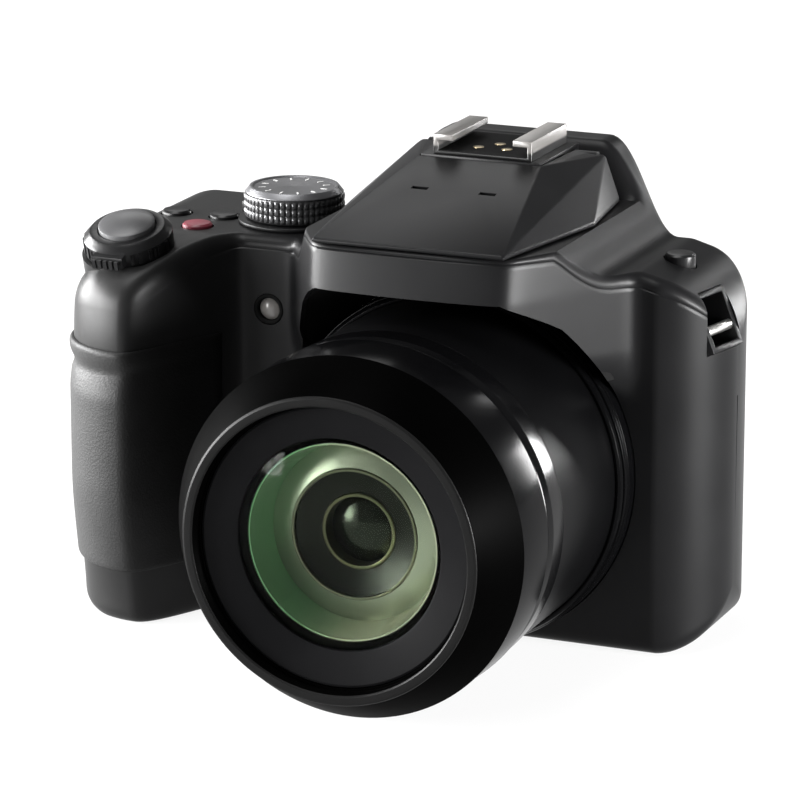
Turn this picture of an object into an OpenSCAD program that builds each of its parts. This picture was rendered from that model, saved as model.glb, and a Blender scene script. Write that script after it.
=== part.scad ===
// Bridge camera with a collapsible zoom lens, a pop-up flash and an eye-level viewfinder.
// Millimetres. +Z is up, the lens looks along -Y, the grip is on the -X side.
// The origin is the mouth of the tripod socket, on the base plane under the optical axis.

/* [Body] */
// Width of the grip, rubber included
grip_w = 32.5; // [30:0.5:35]
// Finger gap between the grip and the lens collar
finger_w = 10.5; // [10:0.5:12]
// Body beyond the lens collar on the other side
side_w = 15.2; // [14.6:0.2:17]
// Top of the nose above the lens tunnel
nose_cover = 8.6; // [8:0.1:9.4]
// Nose above the deck
nose_rise = 6.9; // [6.4:0.1:7.6]
// Viewfinder hump above the nose
lid_h = 10.9; // [10:0.1:12]
// Front panel ahead of the tripod axis
panel_d = 14; // [13:0.5:15]
// Rear face behind the tripod axis
rear_d = 20; // [19:0.5:23]
// Seam between the front and rear covers, behind the tripod axis
seam_d = 2; // [1:0.5:3]
// Wall of the covers
wall = 2; // [1.6:0.1:2.4]
// Edge radius along the base
base_r = 3; // [2.6:0.2:4]
// Edge radius along the deck
deck_r = 4; // [3:0.2:4.6]

/* [Grip] */
// Grip ahead of the front panel
grip_d = 25; // [23:0.5:27]
// Depth of the finger hollow under the upper ridge
hollow_d = 1.6; // [1:0.2:4]
// Height of the finger hollow above the base
hollow_h = 49; // [46:0.5:52]
// Fall of the deck towards the front of the grip, per millimetre
deck_fall = 0.3; // [0.2:0.02:0.36]
// Thickness of the grip rubber
rubber_t = 1; // [0.8:0.1:1.4]
// Lower edge of the grip rubber above the base
rubber_low = 11.5; // [10:0.5:14]
// Upper edge of the grip rubber above the base
rubber_high = 57; // [54:0.5:59]

/* [Nose and hump] */
// Nose over the lens, ahead of the front panel
nose_d = 28; // [26:0.5:29]
// Half width of the flat nose front
nose_half = 20; // [18:0.5:22]
// Half width of the flat hump top
hump_half = 16; // [15:0.5:18]
// Half width of the foot of the hump
hump_foot = 33; // [31:0.5:35]
// Rear of the hump behind the rear face
hump_back = 7; // [6:0.5:9]

/* [Lens] */
// Lens barrel above the table
table_clear = 1; // [0.8:0.1:2]
// Front rim ahead of the tripod axis
rim_d = 79.5; // [78.5:0.5:82]
// Barrel meets the body this far ahead of the tripod axis
lens_seat_d = 18; // [17:0.5:19]
// Radius of the fixed barrel
barrel_r = 34.2; // [33.8:0.1:34.4]
// Front ring proud of the barrel, on the radius
front_proud = 0.7; // [0.4:0.1:0.8]
// Radius of the filter thread
filter_r = 27.5; // [26.5:0.5:28]
// Radius of the front glass
glass_r = 20.3; // [19:0.2:21]
// Running clearance between the sliding tubes, on the radius
slide_gap = 0.3; // [0.2:0.05:0.4]
// Wall of the sliding tubes
tube_t = 1.5; // [1.2:0.1:1.7]

/* [Controls] */
// Radius of the mode dial
dial_r = 10.1; // [9:0.1:11]
// Height of the mode dial
dial_h = 6.2; // [5:0.2:7]
// Radius of the zoom lever
lever_r = 8.8; // [8:0.1:9.4]
// Radius of the shutter button
shutter_r = 5.6; // [5:0.1:6]
// Radius of the small round buttons
button_r = 3; // [2.4:0.1:3.4]
// Travel of the buttons
button_travel = 0.5; // [0.3:0.1:0.7]
// Gap between a button and its hole, on the radius
button_gap = 0.3; // [0.2:0.05:0.4]
// Radius of the cursor pad
pad_r = 11; // [10:0.2:12]

/* [Display and viewfinder] */
// Width of the display glass
display_w = 68; // [64:0.5:70]
// Height of the display glass
display_h = 51; // [48:0.5:52]
// Width of the eyecup
eyecup_w = 34; // [32:0.5:36]
// Height of the eyecup
eyecup_h = 22; // [20:0.5:23]
// Rear of the eyecup behind the tripod axis
eyecup_d = 39.7; // [38:0.1:41]

/* [Power and mounts] */
// Radius of the tripod socket, quarter inch thread
socket_r = 3.175; // [3:0.005:3.3]
// Depth of the tripod socket
socket_d = 7; // [6:0.5:8]
// Thickness, depth and height of the battery
battery_size = [15, 35.5, 45]; // [10:0.5:60]
// Inside width of the accessory shoe
shoe_w = 18.6; // [18.5:0.05:18.7]
// Height of the accessory shoe slot
shoe_slot = 2.1; // [2:0.05:2.3]

/* [Hidden] */
$fn = 64;

black = [0.12, 0.12, 0.125];
soft_black = [0.09, 0.09, 0.09];
grey = [0.36, 0.36, 0.37];
steel = [0.74, 0.72, 0.69];
glass_tint = [0.45, 0.62, 0.52];
board_green = [0.1, 0.3, 0.2];
gold = [0.8, 0.65, 0.3];

// Small gap between parts that are fitted but not pressed together
fit = 0.1;
// Overlap that carries a cut through a face
cut = 1;
// Small chamfer on turned and moulded edges
edge = 0.4;

// Lens collar and the tunnel round it; the body is laid out from them
collar_t = 1.8;
collar_r = barrel_r + collar_t;
hole_r = collar_r + fit * 2;
// The tunnel flares ahead of the panel, first quickly and then gently, under the straight lip of the nose
tunnel_flare = [6.4, 8];
tunnel_run = 16;
lip_flare = 3.4;
hole_mid_r = hole_r + tunnel_flare[0];
hole_front_r = hole_r + tunnel_flare[1];
lip_up = hole_r + lip_flare;
axis_h = barrel_r + table_clear;
front_r = barrel_r + front_proud;

// Heights of the nose, deck and hump
nose_h = axis_h + lip_up + nose_cover;
deck_h = nose_h - nose_rise;
hump_h = nose_h + lid_h;

// Side faces of the covers
grip_reach = collar_r + finger_w + grip_w;
x_left = rubber_t - grip_reach;
x_right = collar_r + side_w;

// How the ends of the body are rounded: run along X, then setback of front, rear, base and deck
left_end = [10, 22, 10, 8, 10];
right_end = [11.2, panel_d + seam_d - cut / 2, rear_d - seam_d - cut / 2, 12, 12];
END_RUN = 0;
END_FRONT = 1;
END_REAR = 2;
END_BASE = 3;
END_DECK = 4;
// Angles at which the rounded ends are sampled; the last one leaves a narrow flat
end_angles = [0, 22, 42, 58, 72, 82, 88.2];

// Plan of the grip: it fades into the front panel between these X
grip_run = 15.5;
grip_fade_out = -collar_r - finger_w;
grip_fade_in = grip_fade_out - grip_run;
grip_steps = 5;
foot_in = 5;
foot_rise = 30;
hollow_half = 8;
shoulder_in = 2;
thumb_out = 2.5;
thumb_run = 14;
thumb_x = [grip_fade_out, grip_fade_out - thumb_run];
thumb_z = [36, 52];

// Nose: flanks fall back by this much per millimetre of width, and the front fades in over these heights
flank_slope = 1.8;
nose_fade_fall = [33.4, 21.4];
nose_fade = [nose_h - nose_fade_fall[0], nose_h - nose_fade_fall[1]];
hump_fade_fall = [16.5, 6.5];
hump_fade = [deck_h - hump_fade_fall[0], deck_h - hump_fade_fall[1]];
nose_edge_r = 2.4;
hump_edge_r = 3;
// The right shoulder falls away from here
shoulder_x = collar_r;
shoulder_fall = 0.28;
// The flash arms end and the hump rises here
arm_end_y = 16.5;
fall_start_y = -16;
step_eps = 0.1;

// Rows of the front cover: coarse up to the finger hollow, fine through it, coarse again up to the deck
low_rows = 4;
hollow_rows = 6;
upper_rows = 3;
rear_rows = 9;
least_r = 0.02;

// Smooth step from 0 at a to 1 at b
function ease(a, b, v) =
    let (t = min(1, max(0, (v - a) / (b - a))))
    t * t * (3 - 2 * t);

// Rounded bump that is 1 at the middle and 0 beyond the half width
function bump(v, middle, half) = 1 - ease(0, half, abs(v - middle));

function clamp(v, low, high) = max(low, min(high, v));

function grip_at(x) = ease(grip_fade_out, grip_fade_in, x);

function grip_depth(z) =
    grip_d
    - foot_in * (1 - ease(0, foot_rise, z))
    - hollow_d * bump(z, hollow_h, hollow_half)
    - shoulder_in * ease(rubber_high, deck_h, z);

function nose_at(x) = max(0, nose_d - flank_slope * max(0, abs(x) - nose_half));

function hump_at(x) = 1 - ease(hump_half, hump_foot, abs(x));

// Y of the front face, before the ends are rounded
function front_y(x, z) =
    -panel_d - max(grip_at(x) * grip_depth(z), nose_at(x) * ease(nose_fade[0], nose_fade[1], z));

// Y of the rear face, before the ends are rounded
function rear_y(x, z) =
    rear_d
    + hump_back * hump_at(x) * ease(hump_fade[0], hump_fade[1], z)
    + thumb_out * ease(thumb_x[0], thumb_x[1], x) * ease(thumb_z[0], thumb_z[1], z);

// Deck height with the hump, and with the hump cut down to the flash well
function deck_z(x) = deck_h - shoulder_fall * max(0, x - shoulder_x);
function top_high(x) = deck_z(x) + (hump_h - deck_z(x)) * hump_at(x);
function top_low(x) = min(top_high(x), nose_h);
function deck_drop(x, y) = deck_fall * grip_at(x) * max(0, fall_start_y - y);

function nose_share(x) = min(1, nose_at(x) / nose_d);
function top_edge_r(x) = deck_r + (nose_edge_r - deck_r) * nose_share(x);

// Stations along X, each as [outer x, end data, end angle]; an angle of 0 is the plain middle of the body
middle_x = concat(
    [for (k = [0 : grip_steps]) grip_fade_in + (grip_fade_out - grip_fade_in) * k / grip_steps],
    [for (s = [-1, -0.75, -0.5, -0.25]) s * nose_d / flank_slope - nose_half],
    [-nose_half, -nose_half / 2, 0, nose_half / 2, nose_half],
    [for (s = [0.25, 0.5, 0.75, 1]) s * nose_d / flank_slope + nose_half]
);
stations = concat(
    [for (k = [len(end_angles) - 1 : -1 : 0]) [-1, end_angles[k]]],
    [for (x = middle_x) [x, 0]],
    [for (k = [0 : len(end_angles) - 1]) [1, end_angles[k]]]
);
left_count = len(end_angles);
right_start = left_count + len(middle_x);

function is_end(i) = i < left_count || i >= right_start;
function end_of(i) = i < left_count ? left_end : right_end;
function end_share(i) = is_end(i) ? 1 - cos(stations[i][1]) : 0;
// X of station i, moved in by w
function station_x(i, w) =
    i < left_count ? x_left + w + (left_end[END_RUN] - w) * (1 - sin(stations[i][1])) :
    i >= right_start ? x_right - w - (right_end[END_RUN] - w) * (1 - sin(stations[i][1])) :
    stations[i][0];
// X at which the body's shape is read, kept off the rounded ends
function shape_x(i) =
    i < left_count ? x_left + left_end[END_RUN] * (1 - sin(stations[i][1])) :
    i >= right_start ? x_right - right_end[END_RUN] * (1 - sin(stations[i][1])) :
    stations[i][0];
// Setback of side s at station i for a surface that lies w inside the outer one
function setback(i, s, w) =
    let (full = is_end(i) ? end_of(i)[s] : 0)
    w + (full - w) * end_share(i);

// Heights shared by the three covers at station i
function base_z(i) = (is_end(i) ? end_of(i)[END_BASE] : 0) * end_share(i);
function deck_cut(i) = (is_end(i) ? end_of(i)[END_DECK] : 0) * end_share(i);
function low_r(i) = base_r * (1 - end_share(i));
function top_r(i) = top_edge_r(shape_x(i)) * (1 - end_share(i));
function back_r(i) = hump_edge_r * (1 - end_share(i));
function inner_r(r, w) = max(r - w, least_r);

function face_front(i, z, w) = front_y(shape_x(i), z) + setback(i, END_FRONT, w);
function face_rear(i, z, w) = rear_y(shape_x(i), z) - setback(i, END_REAR, w);
function edge_z(i) =
    top_low(shape_x(i)) - deck_cut(i) - deck_drop(shape_x(i), front_y(shape_x(i), deck_h) + deck_r);
function seam_z(i) = edge_z(i) - top_r(i);
function rear_seam_z(i) = top_high(shape_x(i)) - deck_cut(i) - back_r(i);

half_turn = 45;

// Heights of the rows that the front cover shares with the grip rubber, starting at low
function grip_rows(low) =
    let (mid = hollow_h - hollow_half)
    concat(
        [for (k = [0 : low_rows - 1]) low + (mid - low) * k / low_rows],
        [for (k = [0 : hollow_rows]) mid + (rubber_high - mid) * k / hollow_rows]
    );
function front_rows(z0, zs) = concat(
    [z0],
    grip_rows(max(rubber_low, z0 + cut)),
    [for (k = [1 : upper_rows]) rubber_high + (zs - rubber_high) * k / upper_rows]
);

// Front cover rows at station i: base, lower edge and front face up to the deck seam
function front_ring(i, w) =
    let (
        x = station_x(i, w),
        z0 = base_z(i) + low_r(i),
        r = inner_r(low_r(i), w),
        zb = z0 - r,
        yc = face_front(i, z0, 0) + low_r(i),
        zs = seam_z(i)
    )
    concat(
        [[x, seam_d, zb], [x, yc, zb], [x, yc - r * cos(half_turn), z0 - r * sin(half_turn)]],
        [for (z = front_rows(z0, zs)) [x, face_front(i, z, w), z]]
    );

// Top cover rows at station i, from the front seam over the deck and hump to the rear seam
function top_ring(i, w) =
    let (
        x = station_x(i, w),
        sx = shape_x(i),
        zs = seam_z(i),
        r = inner_r(top_r(i), w),
        yf = face_front(i, zs, 0) + top_r(i),
        zr = rear_seam_z(i),
        rr = inner_r(back_r(i), w),
        yb = face_rear(i, zr, 0) - back_r(i),
        low = top_low(sx) - deck_cut(i) - (top_r(i) - r),
        high = top_high(sx) - deck_cut(i) - (back_r(i) - rr),
        y3 = clamp(fall_start_y, yf + step_eps, yb - 4 * step_eps),
        y4 = clamp(arm_end_y + w, yf + 2 * step_eps, yb - 3 * step_eps),
        y5 = clamp(arm_end_y + w + step_eps, yf + 3 * step_eps, yb - 2 * step_eps)
    )
    [
        [x, face_front(i, zs, w), zs],
        [x, yf - r * cos(half_turn), zs + r * sin(half_turn)],
        [x, yf, zs + r],
        [x, y3, low - deck_drop(sx, y3)],
        [x, y4, low],
        [x, y5, high],
        [x, yb, high],
        [x, yb + rr * cos(half_turn), zr + rr * sin(half_turn)],
        [x, face_rear(i, zr, w), zr]
    ];

// Rear cover rows at station i, from the rear seam down to the base
function rear_ring(i, w) =
    let (
        x = station_x(i, w),
        z0 = base_z(i) + low_r(i),
        r = inner_r(low_r(i), w),
        zb = z0 - r,
        yc = face_rear(i, z0, 0) - low_r(i),
        zs = rear_seam_z(i)
    )
    concat(
        [for (k = [0 : rear_rows]) let (z = zs + (z0 - zs) * k / rear_rows) [x, face_rear(i, z, w), z]],
        [[x, yc + r * cos(half_turn), z0 - r * sin(half_turn)], [x, yc, zb], [x, seam_d, zb]]
    );

// The flat end of the body is closed towards a short upright line on the seam
cap_z = [20, 50];
cap_half = 0.2;
function cap_line(x, n, from, to) =
    [for (j = [0 : n - 1]) let (t = j / (n - 1)) concat([x], from + (to - from) * t)];
cap_low = [seam_d, cap_z[0]];
cap_front = [seam_d - cap_half, cap_z[1]];
cap_rear = [seam_d + cap_half, cap_z[1]];

function with_caps(rows, w, from, to) =
    let (n = len(rows[0]))
    concat([cap_line(x_left + w, n, from, to)], rows, [cap_line(x_right - w, n, from, to)]);

function front_grid(w) =
    with_caps([for (i = [0 : len(stations) - 1]) front_ring(i, w)], w, cap_low, cap_front);
function top_grid(w) =
    with_caps([for (i = [0 : len(stations) - 1]) top_ring(i, w)], w, cap_front, cap_rear);
function rear_grid(w) =
    with_caps([for (i = [0 : len(stations) - 1]) rear_ring(i, w)], w, cap_rear, cap_low);

// Closed shell between an outer and an inner grid of points
module shell(outer, inner) {
    m = len(outer);
    n = len(outer[0]);
    points = concat([for (row = outer) each row], [for (row = inner) each row]);
    function at(i, j, side) = side * m * n + i * n + j;
    function quad(a, b, c, d) = [[a, b, c], [a, c, d]];
    faces = concat(
        [for (i = [0 : m - 2], j = [0 : n - 2])
            each quad(at(i, j, 0), at(i, j + 1, 0), at(i + 1, j + 1, 0), at(i + 1, j, 0))],
        [for (i = [0 : m - 2], j = [0 : n - 2])
            each quad(at(i, j, 1), at(i + 1, j, 1), at(i + 1, j + 1, 1), at(i, j + 1, 1))],
        [for (i = [0 : m - 2]) each quad(at(i, 0, 0), at(i + 1, 0, 0), at(i + 1, 0, 1), at(i, 0, 1))],
        [for (i = [0 : m - 2])
            each quad(at(i, n - 1, 0), at(i, n - 1, 1), at(i + 1, n - 1, 1), at(i + 1, n - 1, 0))],
        [for (j = [0 : n - 2]) each quad(at(0, j, 0), at(0, j, 1), at(0, j + 1, 1), at(0, j + 1, 0))],
        [for (j = [0 : n - 2])
            each quad(at(m - 1, j, 0), at(m - 1, j + 1, 0), at(m - 1, j + 1, 1), at(m - 1, j, 1))]
    );
    polyhedron(points, faces, convexity = 10);
}

// Lens axis: forward distances f run from the tripod axis along -Y
module on_axis(f = 0) {
    translate([0, -f, axis_h]) rotate([90, 0, 0]) children();
}

// Ring or tube turned about the lens axis from [radius, f] corners
module turned(corners) {
    on_axis() rotate_extrude() polygon(corners);
}

module round_rect(w, h, r) {
    square([w - 2 * r, h], center = true);
    square([w, h - 2 * r], center = true);
    for (sx = [-1, 1], sy = [-1, 1])
        translate([sx * (w / 2 - r), sy * (h / 2 - r)]) circle(r);
}

// Plate on a rear or front face: outline in X and Z, from y0 to y1
module plate_y(w, h, r, y0, y1) {
    translate([0, y1, 0]) rotate([90, 0, 0]) linear_extrude(y1 - y0) round_rect(w, h, r);
}

// Rod along Y from y0 to y1
module rod_y(r, y0, y1) {
    translate([0, y1, 0]) rotate([90, 0, 0]) cylinder(r = r, h = y1 - y0);
}

module rod_x(r, x0, x1) {
    translate([x0, 0, 0]) rotate([0, 90, 0]) cylinder(r = r, h = x1 - x0);
}

module both_sides() {
    children();
    mirror([1, 0, 0]) children();
}

// Lens stations and radii
front_ring_w = 10.5;
scale_w = 11.8;
groove_w = 0.7;
mid_proud = 0.5;
trim_w = 8;
shoulder_d = rim_d - front_ring_w;
scale_back_d = shoulder_d - scale_w;
mid_front_d = scale_back_d - groove_w;
trim_front_d = mid_front_d - mid_proud;
trim_back_d = trim_front_d - trim_w;
trim_t = 0.6;
trim_seat = 0.4;
barrel_back_d = 8;
barrel_t = 1.5;
bore_r = barrel_r - barrel_t;
mid_r = bore_r - slide_gap;
mid_in_r = mid_r - tube_t;
tube_r = mid_in_r - slide_gap;
tube_in_r = tube_r - tube_t;
mid_back_d = 10.5;
mid_wall_d = 12.5;
tube_back_d = 13.5;
scale_r = front_r - edge;
scale_flare = 0.5;
rim_land = 2;
thread_d = 3;
flange_t = 3.5;
name_seat = 0.5;
name_r = filter_r - name_seat;
name_back_d = shoulder_d + flange_t;
name_front_d = rim_d - thread_d - 2 * fit;
name_slope = 1.6;
glass_sag = 2.5;
glass_front_d = rim_d - thread_d - fit;
glass_edge_d = glass_front_d - glass_sag;
glass_seat = 1.3;
flange_in_r = glass_r - glass_seat;
snout_r = 14.2;
snout_in_r = 12.8;
snout_front_d = 42;
iris_d = [41.1, 41.9];
iris_r = 6;
second_r = 17.2;
second_t = 5;
second_deep = 7.5;
second_sag = 3.6;
second_edge_d = name_back_d - second_deep;
cell_t = 2.2;
cell_back_d = second_edge_d - second_t - fit;
relay_sag = 1.5;
rear_plate_d = [6, 8];
relay_r = 11.1;
relay_d = [3, 9];
sensor_plate_y = [0.5, 2];
sensor_plate_size = [40, 34];
sensor_size = [12, 10];
sensor_t = 1.5;
standoff_r = 2;
standoff_ring = 17;
standoff_angles = [30, 150, 270];
sensor_corner = 0.5;
plate_corner = 3;
collar_back_d = 10;
canopy_t = 1.4;
nose_front_d = panel_d + nose_d;
table_gap = 0.3;

// The tunnel that the lens passes through, widening under the nose up to the flat roof behind its lip
module lens_tunnel(grow, back, front) {
    reach = hole_front_r + grow + cut;
    intersection() {
        turned([
            [0, back], [hole_r + grow, back], [hole_r + grow, panel_d],
            [hole_mid_r + grow, panel_d + tunnel_run], [hole_front_r + grow, front], [0, front]
        ]);
        translate([-reach, -front - cut, axis_h - reach])
            cube([2 * reach, front - back + 2 * cut, reach + lip_up + grow]);
    }
}

canopy_h = 27.4;
canopy_low = nose_h - canopy_h;
canopy_inset = 0.8;
module canopy() {
    tip = nose_half - canopy_inset;
    root = nose_half + nose_d / flank_slope - canopy_inset;
    front = -nose_front_d + canopy_inset;
    intersection() {
        difference() {
            lens_tunnel(canopy_t, panel_d, nose_front_d);
            lens_tunnel(0, panel_d - cut, nose_front_d + cut);
        }
        translate([0, 0, canopy_low]) linear_extrude(nose_h - wall - canopy_low)
            polygon([[-root, -panel_d], [-tip, front], [tip, front], [root, -panel_d]]);
    }
}

// Placement of the strap lugs: centre, outward side, turn about the vertical
lug_in = [3.8, 3.4];
lug_y = [-2, -3];
lug_fall = [11, 15.5];
lug_yaw = [-12, 0];
lug_places = [
    [x_right - lug_in[0], lug_y[0], deck_h - lug_fall[0], 1, lug_yaw[0]],
    [x_left + lug_in[1], lug_y[1], deck_h - lug_fall[1], -1, lug_yaw[1]]
];
lug_tilt = 24;
lug_box = [8, 11, 12];
lug_wall = 1.2;
lug_mouth = 1.2;
lug_bar_r = 1;
lug_bar_at = [0.1, -1.6];
lug_through = 6;
module at_lug(p) {
    translate([p[0], p[1], p[2]]) mirror([p[3] < 0 ? 1 : 0, 0, 0]) rotate([0, -lug_tilt, p[4]]) children();
}
module lug_cuts() {
    for (p = lug_places) at_lug(p)
        translate([lug_mouth - lug_box[0] - fit, -lug_box[1] / 2 - fit, -lug_box[2] / 2 - fit])
            cube([lug_box[0] + lug_through, lug_box[1] + 2 * fit, lug_box[2] + 2 * fit]);
}

// Battery, card and their door in the foot of the grip
battery_in = 16.2;
battery_x = x_left + battery_in;
battery_y = -1.4;
battery_z = 3;
card_size = [2.1, 24, 32];
card_in = 25.4;
card_x = x_left + card_in;
card_y = 0;
card_z = 3.4;
door_margin = 0.6;
door_t = 1.9;
door_x0 = battery_x - battery_size[0] / 2 - door_margin;
door_x1 = card_x + card_size[0] / 2 + door_margin;
door_y0 = battery_y - battery_size[1] / 2 - door_margin;
door_y1 = battery_y + battery_size[1] / 2 + door_margin / 2;
door_chamfer = [7, 9.5];
knuckle_r = 1.45;
pin_r = 0.7;
pin_gap = 0.06;
pin_reach = 2;
knuckle_end = 3;
knuckle_sink = 0.4;
knuckle_y = [door_y0 + door_chamfer[1] + pin_reach, door_y1 - knuckle_end];
door_pin_x = door_x1 + knuckle_r - knuckle_sink;
door_pin_z = knuckle_r + fit;
module door_outline(grow) {
    polygon([
        [door_x0 - grow, door_y0 - grow], [door_x1 - door_chamfer[0] + grow / 2, door_y0 - grow],
        [door_x1 + grow, door_y0 + door_chamfer[1] - grow / 2], [door_x1 + grow, door_y1 + grow],
        [door_x0 - grow, door_y1 + grow]
    ]);
}
door_gap = 0.25;
// The hinge side of the door is set back so that its lower edge swings clear of the covers
door_relief = 1;
module door_cuts() {
    translate([0, 0, -cut]) linear_extrude(battery_z + cut) door_outline(door_gap);
    translate([door_x1 - cut, knuckle_y[0] - door_gap, -cut])
        cube([door_pin_x - door_x1 + knuckle_r + door_gap + cut, knuckle_y[1] - knuckle_y[0] + 2 * door_gap,
            battery_z + 2 * cut]);
    translate([door_pin_x, 0, door_pin_z]) rod_y(pin_r, knuckle_y[0] - pin_reach, knuckle_y[1] + pin_reach);
}

// Terminal door on the grip side
terminal_y = [-10, 6];
terminal_z = [22, 46];
terminal_t = 1.1;
terminal_knuckle_r = terminal_t / 2;
terminal_stub_r = 0.35;
terminal_stub = 0.9;
terminal_gap = 0.2;
terminal_pin = [x_left + terminal_knuckle_r, terminal_y[1] - terminal_knuckle_r];
terminal_socket_size = [6, 9, 3.4];
terminal_socket_z = [28, 37];
terminal_socket_y = -3;
module terminal_cuts() {
    translate([x_left - cut, terminal_y[0] - terminal_gap, terminal_z[0] - terminal_gap])
        cube([terminal_t + fit + cut, terminal_y[1] - terminal_y[0] + 2 * terminal_gap,
            terminal_z[1] - terminal_z[0] + 2 * terminal_gap]);
    translate([terminal_pin[0], terminal_pin[1], terminal_z[0] - terminal_stub - fit])
        cylinder(r = terminal_stub_r + pin_gap,
            h = terminal_z[1] - terminal_z[0] + 2 * (terminal_stub + fit));
    for (z = terminal_socket_z)
        translate([x_left - cut, terminal_socket_y - terminal_socket_size[1] / 2 - fit, z - fit])
            cube([wall + 2 * cut, terminal_socket_size[1] + 2 * fit, terminal_socket_size[2] + 2 * fit]);
}

socket_flange_r = 5.5;
socket_floor = 1.5;
socket_h = socket_d + socket_floor;
module socket_cut() {
    translate([0, 0, -cut]) cylinder(r = socket_flange_r + fit, h = wall + 3 * cut);
}

lamp_out = 5.2;
lamp_fall = 14.7;
lamp_at = [-collar_r - lamp_out, deck_h - lamp_fall];
lamp_r = 3.1;
lamp_proud = 0.3;

module front_cover() {
    color(black) {
        difference() {
            shell(front_grid(0), front_grid(wall));
            lens_tunnel(0, barrel_back_d, nose_front_d + cut);
            on_axis(barrel_back_d - 3 * cut) cylinder(r = barrel_r + slide_gap, h = nose_front_d);
            translate([lamp_at[0], 0, lamp_at[1]]) rod_y(lamp_r + fit, -panel_d - cut, -panel_d + wall + cut);
            lug_cuts();
            door_cuts();
            terminal_cuts();
            socket_cut();
        }
        canopy();
    }
}

// Controls on the deck: X from the lens collar, the dial or the grip side, and Y
dial_out = 6;
video_out = 16;
burst_out = 14.5;
drive_in = 11.2;
lever_in = 11.5;
flash_out = 3;
dial_at = [-collar_r - dial_out, 0.5];
video_at = [dial_at[0] - video_out, -11];
burst_at = [dial_at[0] - burst_out, -1.5];
drive_at = [x_left + drive_in, -2];
flash_button_at = [collar_r + flash_out, 2];
lever_at = [x_left + lever_in, -24];
switch_r = 11.2;
switch_t = 0.8;
// How far the button holes run below and above the deck
button_hole = [5, 2];
lever_tilt = atan(deck_fall);
lever_base = 0.4;
lever_h = 4.4;
lever_collar = 5;
shaft_r = 3;
shaft_gap = 0.06;
stem_r = 2;
module at_lever() {
    translate([lever_at[0], lever_at[1], deck_h - deck_fall * (fall_start_y - lever_at[1])])
        rotate([lever_tilt, 0, 0]) children();
}

// Flash lid: it rests on the nose, and its arms pass the accessory shoe to the hinge
lid_gap = 0.2;
lid_z = nose_h + lid_gap;
lid_lip = 0.9;
lid_inset = 0.5;
lid_front_x = nose_half - lid_inset;
lid_wide = [25.4, -9];
lid_arm_x = 22.5;
shoe_half = 12.4;
shoe_front_y = -5;
shoe_back_y = arm_end_y - lid_gap;
notch_gap = 0.3;
notch_x = shoe_half + notch_gap;
notch_y = shoe_front_y - notch_gap;
hinge_y = 12.5;
hinge_drop = 2.7;
hinge_z = hump_h - hinge_drop;
hinge_knuckle_r = 2.2;
hinge_out_x = 19.5;
arm_edge = 1;
arm_fall = 1.6;
ridge_drop = 0.6;
ridge_z = hump_h - ridge_drop;
hinge_pin_r = 1.2;
hinge_pin_x = [9, 17.5];
lid_t = 1.8;
head_half = 14;
head_y = [-38, -27];
head_drop = 5.8;
head_lip = 1.1;
head_run = 8;
window_t = 0.7;
mic_at = [7, -18.6];
mic_size = [3.4, 1.1];
mic_depth = 0.7;
well_gap = 1.6;

module top_cover() {
    color(black) difference() {
        union() {
            shell(top_grid(0), top_grid(wall));
            at_lever() translate([0, 0, -lever_collar]) cylinder(r = lever_r + 2 * edge, h = lever_collar);
        }
        at_lever() translate([0, 0, -lever_collar - cut])
            cylinder(r = stem_r + button_gap, h = lever_collar + 2 * cut);
        at_lever() translate([0, 0, lever_base / 2])
            cylinder(r = lever_r + button_gap, h = lever_h);
        translate([dial_at[0], dial_at[1], deck_h + fit / 2])
            cylinder(r = switch_r + button_gap, h = hump_h - deck_h);
        for (p = [video_at, burst_at, drive_at, flash_button_at])
            translate([p[0], p[1], deck_h - button_hole[0]])
                cylinder(r = button_r + button_gap, h = button_hole[0] + button_hole[1]);
        translate([dial_at[0], dial_at[1], deck_h - wall - cut])
            cylinder(r = shaft_r + shaft_gap, h = wall + 2 * cut);
        translate([-head_half - well_gap, head_y[0] - well_gap, nose_h - wall - cut])
            cube([2 * (head_half + well_gap), head_y[1] - head_y[0] + 2 * well_gap, wall + 2 * cut]);
        lug_cuts();
    }
}

// Display and rear controls: X and Z of each
display_at = [7, 33.5];
display_edge = 2.5;
display_ledge = 0.8;
glass_proud = 0.6;
panel_t = 5;
glass_corner = 2;
panel_corner = 1;
finder_corner = 2;
finder_fall = 19.8;
finder_z = hump_h - finder_fall;
finder_hole = [18, 12];
finder_gap = 0.2;
pad_at = [-46, 29];
set_r = 4;
play_at = [-36, 50.5];
lock_at = [-47.5, 50.5];
menu_at = [-35, 10];
view_fall = 14;
view_at = [-31.5, deck_h - view_fall];
rear_buttons = [play_at, lock_at, menu_at, view_at];
rear_dial_in = 12;
rear_dial_fall = 15.5;
rear_dial_at = [x_left + rear_dial_in, 15.5, deck_h - rear_dial_fall];
rear_dial_r = 9;
rear_dial_t = 4;
diopter_fall = 20.3;
diopter_at = [22, hump_h - diopter_fall];
diopter_r = 4;
diopter_shaft_r = 1.5;

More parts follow.
